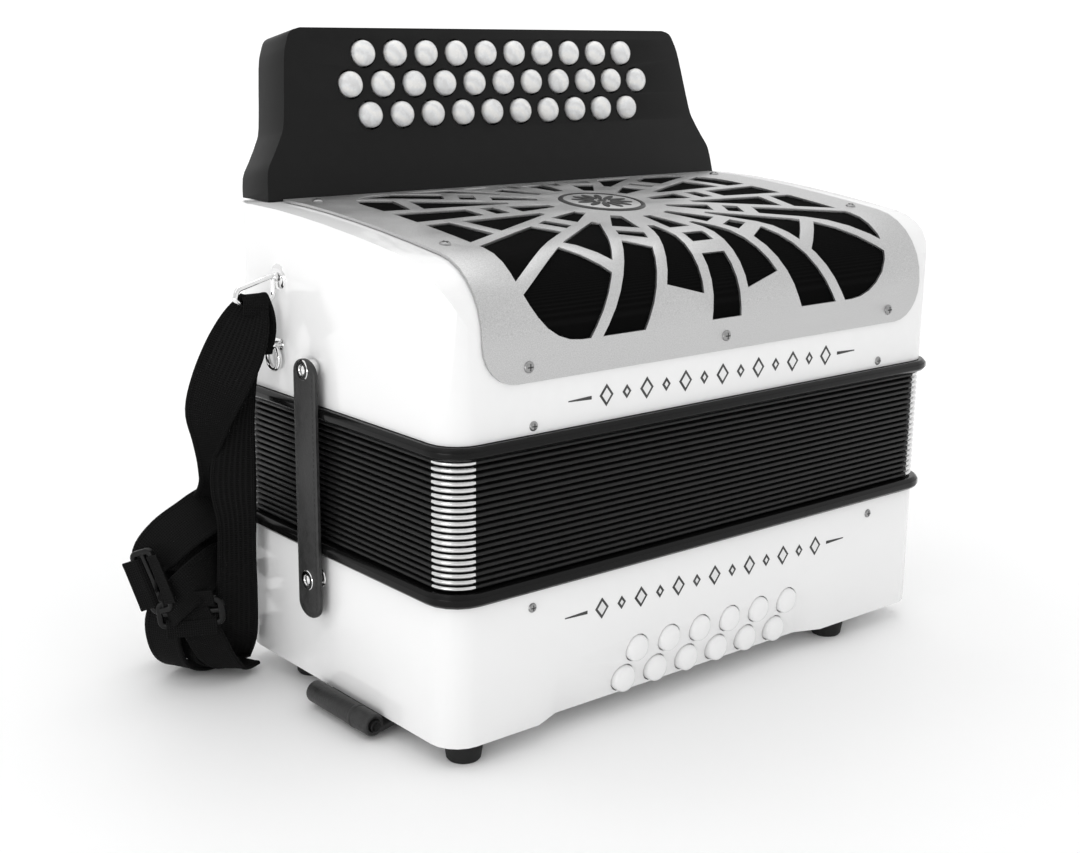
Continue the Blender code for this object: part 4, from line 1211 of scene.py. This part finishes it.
def strap_section(half, thickness=STRAP_THICKNESS):
    """A flat band's section: slightly crowned, with thicker bound edges."""
    t = thickness / 2
    edge = [(half - 0.25, t * 0.8), (half - 0.9, t), (half - 2.2, t * 0.95), (half - 2.8, t * 0.72)]
    crown = [(half * k / 4, t * 0.74) for k in range(3, -4, -1)]
    above = edge + crown + [(-a, b) for a, b in reversed(edge)]
    return [(half, 0.0)] + above + [(-half, 0.0)] + [(-a, -b) for a, b in above]


def strap_piece(name, shape, body=None):
    return piece(name, shape, ("webbing",), body, ("shoulder_strap",), 60)


def ribbon(shape, left, right, steps=STRAP_STEPS, thickness=STRAP_THICKNESS, span_part=(0.0, 1.0)):
    """A band between two rails; its width and turn follow them. Part of its length can be made."""
    rail_a, rail_b = smooth(left, steps), smooth(right, steps)
    low, high = (round(part * (steps - 1)) for part in span_part)
    rail_a, rail_b = rail_a[low:high + 1], rail_b[low:high + 1]
    path = [(a + b) / 2 for a, b in zip(rail_a, rail_b)]
    sides = [(b - a).normalized() for a, b in zip(rail_a, rail_b)]
    sections = [strap_section((b - a).length / 2, thickness) for a, b in zip(rail_a, rail_b)]
    shape.sweep(path, sides, sections)


# The front strap and the one behind it: left and right edges from the loop down to the heap.
FRONT_LEFT = ((-175.2, 43.2, 187), (-181, 50, 178), (-188, 54, 165), (-193, 59, 149), (-194, 64, 134),
              (-189, 68, 119), (-184, 73, 104), (-181, 80, 92), (-184, 90, 78), (-190, 94, 60))
FRONT_RIGHT = ((-161.2, 43.2, 187), (-163, 38, 176), (-166, 38, 163), (-171, 42, 149), (-175, 50, 134),
               (-177, 59, 119), (-178, 70, 104), (-172, 78, 92), (-163, 80, 78), (-162, 82, 60))
BACK_LEFT = ((-174.6, 46, 186), (-168, 48, 174), (-166, 53, 162), (-170, 58, 148), (-177, 62, 128),
             (-180, 67, 108), (-179, 71, 93), (-179, 66, 79), (-182, 61, 62), (-184, 60, 44),
             (-183, 66, 20), (-178, 82, 3.2))
BACK_RIGHT = ((-160.8, 45.6, 186), (-159.5, 46, 174), (-160, 50, 162), (-161.5, 54, 148), (-162, 56.8, 128),
              (-162, 57.2, 108), (-162, 57.6, 93), (-162, 58.4, 79), (-162, 60, 62), (-162, 60, 44),
              (-161, 63, 20), (-158, 76, 3.2))
TAB_LEFT = ((-168, 45.6, 187), (-167, 50, 180), (-165, 52, 172), (-163, 51, 165), (-161.6, 48.4, 159.6))
TAB_RIGHT = ((-160.6, 43.4, 187), (-159.4, 40.6, 180), (-158.8, 40.4, 172), (-158.8, 42.4, 165),
             (-158.8, 44.6, 159.6))
TAB_STEPS = 20


def make_hanging_strap(name, left, right, cut):
    """A strap in two lengths that meet at its cut: one hangs from the loop, one stretches to the heap."""
    top, bottom = Shape(), Shape()
    ribbon(top, left, right, span_part=(0.0, cut + 1 / (STRAP_STEPS - 1)))
    ribbon(bottom, left, right, span_part=(cut, 1.0))
    upper = strap_piece(f"{name}_top", top)
    at((0, 0, STRAP_CUT_Z + 2))
    at((0, 0, 184.0))
    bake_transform(upper)
    lower = strap_piece(f"{name}_drop", bottom)
    at((0, 0, 76.0))
    at((0, 0, STRAP_CUT_Z - 2))
    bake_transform(lower)


def make_tab():
    """The second strap's end, from the loop down to the small ring on the end wall."""
    shape = Shape()
    ribbon(shape, TAB_LEFT, TAB_RIGHT, steps=TAB_STEPS, thickness=1.3)
    tab = strap_piece("strap_tab", shape)
    at((0, 0, 162.0))
    at((0, 0, 184.0))
    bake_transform(tab)


def make_loop_end(y, out, drop):
    """The strap's doubled end, sewn round the loop's lower bar."""
    bar_x, bar_z = LOOP_BAR
    shape = Shape()
    path = []
    for i in range(LOOP_END_STEPS + 1):
        turn = math.radians(-90 + 180 * i / LOOP_END_STEPS)
        path.append((bar_x, y + 2.6 * math.sin(turn), bar_z + 2.9 * math.cos(turn)))
    path = [(bar_x - 0.6, y - 2.6, bar_z - drop)] + path + [(bar_x - 0.6, y + 2.6, bar_z - drop)]
    shape.sweep(smooth(path, 30), (1, 0, 0), strap_section(out, 1.3), 0)
    strap_piece("strap_loop_end", shape, "ring")


HEAP = {
    "flap_top": (
        ((-160, 86, 90), (-172, 86, 91), (-186, 86, 86), (-199, 89, 78), (-208, 90, 68), (-207, 86, 58),
         (-194, 84, 52), (-176, 84, 50)),
        ((-162, 68, 74), (-174, 68, 74), (-186, 66, 71), (-197, 68, 63), (-204, 72, 54), (-203, 74, 46),
         (-192, 74, 42), (-174, 74, 40)),
    ),
    "flap_middle": (
        ((-166, 70, 66), (-178, 70, 67), (-187, 66, 66), (-196, 64, 62), (-203, 67, 54), (-206, 71, 46),
         (-202, 78, 38), (-188, 84, 36), (-172, 84, 36)),
        ((-166, 60, 48), (-178, 62, 48), (-187, 60, 47), (-193, 59, 44), (-199, 61, 39), (-202, 66, 33),
         (-199, 74, 27), (-186, 78, 26), (-170, 78, 26)),
    ),
    "flap_low": (
        ((-170, 88, 44), (-188, 90, 45), (-200, 88, 42), (-208, 85, 33), (-208, 84, 20), (-202, 86, 9),
         (-190, 90, 3.0), (-170, 90, 2.6)),
        ((-168, 70, 38), (-184, 68, 40), (-195, 66, 39), (-200, 67, 32), (-199, 68, 20), (-194, 70, 9),
         (-183, 74, 3.0), (-164, 76, 2.6)),
    ),
    "flap_front": (
        ((-200, 78, 46), (-203, 71, 41), (-201, 67, 33), (-197, 65, 23), (-191, 66, 13), (-180, 70, 4.5),
         (-166, 74, 4.0)),
        ((-184, 66, 48), (-189, 59, 43), (-187, 56, 35), (-183, 54, 26), (-178, 54, 15), (-170, 58, 5.5),
         (-160, 62, 4.6)),
    ),
    "flap_back": (
        ((-166, 96, 72), (-178, 100, 66), (-190, 104, 52), (-197, 106, 36), (-194, 107, 19), (-182, 107, 6),
         (-164, 104, 2.6)),
        ((-163, 86, 56), (-172, 88, 50), (-181, 90, 40), (-186, 91, 29), (-184, 92, 17), (-175, 92, 6),
         (-160, 90, 2.6)),
    ),
    "flap_inner": (
        ((-162, 98, 44), (-176, 98, 46), (-188, 96, 40), (-194, 94, 29), (-190, 94, 18), (-176, 96, 13),
         (-162, 98, 12)),
        ((-162, 80, 40), (-174, 80, 40), (-184, 78, 35), (-188, 77, 27), (-185, 78, 18), (-173, 80, 13),
         (-162, 82, 12)),
    ),
    "flap_floor": (
        ((-163, 84, 32), (-178, 84, 31), (-192, 82, 26), (-196, 80, 17), (-190, 82, 9), (-176, 84, 6),
         (-161, 86, 5.6)),
        ((-162, 68, 24), (-174, 68, 23), (-186, 68, 20), (-191, 69, 13.5), (-186, 70, 7.4), (-174, 70, 5),
         (-161, 72, 4.8)),
    ),
}


def make_heap():
    """The straps' slack, folded on itself on the floor behind the end wall."""
    for name, (left, right) in HEAP.items():
        shape = Shape()
        ribbon(shape, left, right)
        strap_piece(f"strap_{name}", shape, "bass_half")


SLIDER_HALF = (14.6, 5.6)
THREAD_LINE = ((-11.0, -2.6), (-6.4, -1.4), (-3.6, -1.0), (-1.8, 1.4), (0.0, 2.3),
               (1.8, 1.4), (3.6, -1.0), (6.4, -1.4), (11.0, -2.6))


def make_slider(name, middle, along, across):
    """A moulded strap adjuster: a rounded frame with a bar across its middle."""
    middle, along, across = Vector(middle), Vector(along).normalized(), Vector(across)
    across = (across - along * across.dot(along)).normalized()
    out = along.cross(across)

    def place(a, b, height):
        return middle + along * a + across * b + out * height

    shape = Shape()
    half_a, half_b = SLIDER_HALF
    section = rounded(1.5, 1.35, 0.7, 3)
    rim = [place(a, b, 0.0) for a, b in rounded(half_a, half_b, 2.4, 4)]
    shape.sweep(rim, out, section, 0, True)
    bar = [place(a, 0.0, height) for a, height in ((0.4 - half_a, 0.4), (0.0, 0.9), (half_a - 0.4, 0.4))]
    shape.sweep(bar, out, rounded(1.1, 1.2, 0.6, 3), 0)
    thread = [place(0.0, b, height) for b, height in THREAD_LINE]
    shape.sweep(smooth(thread, 28), along, strap_section(half_a - 2.4, 1.2), 1)
    piece(name, shape, ("moulded_black", "webbing"), "bass_half")


make_bracket("bracket_plate_left", -1, RING_Y, RING_PIVOT_Z)
make_ring()
make_hanging_ring("lower_ring_left", -1, 46.0, 163.5, 5.4)
make_bracket("bracket_plate_right", 1, RING_Y, RING_PIVOT_Z)
make_hanging_ring("upper_ring_right", 1, RING_Y, 190.0, 6.2)
make_hanging_ring("lower_ring_right", 1, 46.0, 163.5, 5.4)
make_hanging_strap("strap_front", FRONT_LEFT, FRONT_RIGHT, 12 / (STRAP_STEPS - 1))
make_hanging_strap("strap_behind", BACK_LEFT, BACK_RIGHT, 9 / (STRAP_STEPS - 1))
make_tab()
make_loop_end(RING_Y, 6.6, 6.0)
make_heap()
make_slider("strap_slider_1", (-208.5, 75, 53), (5, -7, -22), (-4, 7, 8))
make_slider("strap_slider_2", (-195.6, 63.4, 38), (14, -12, 2), (2, -2, -8))
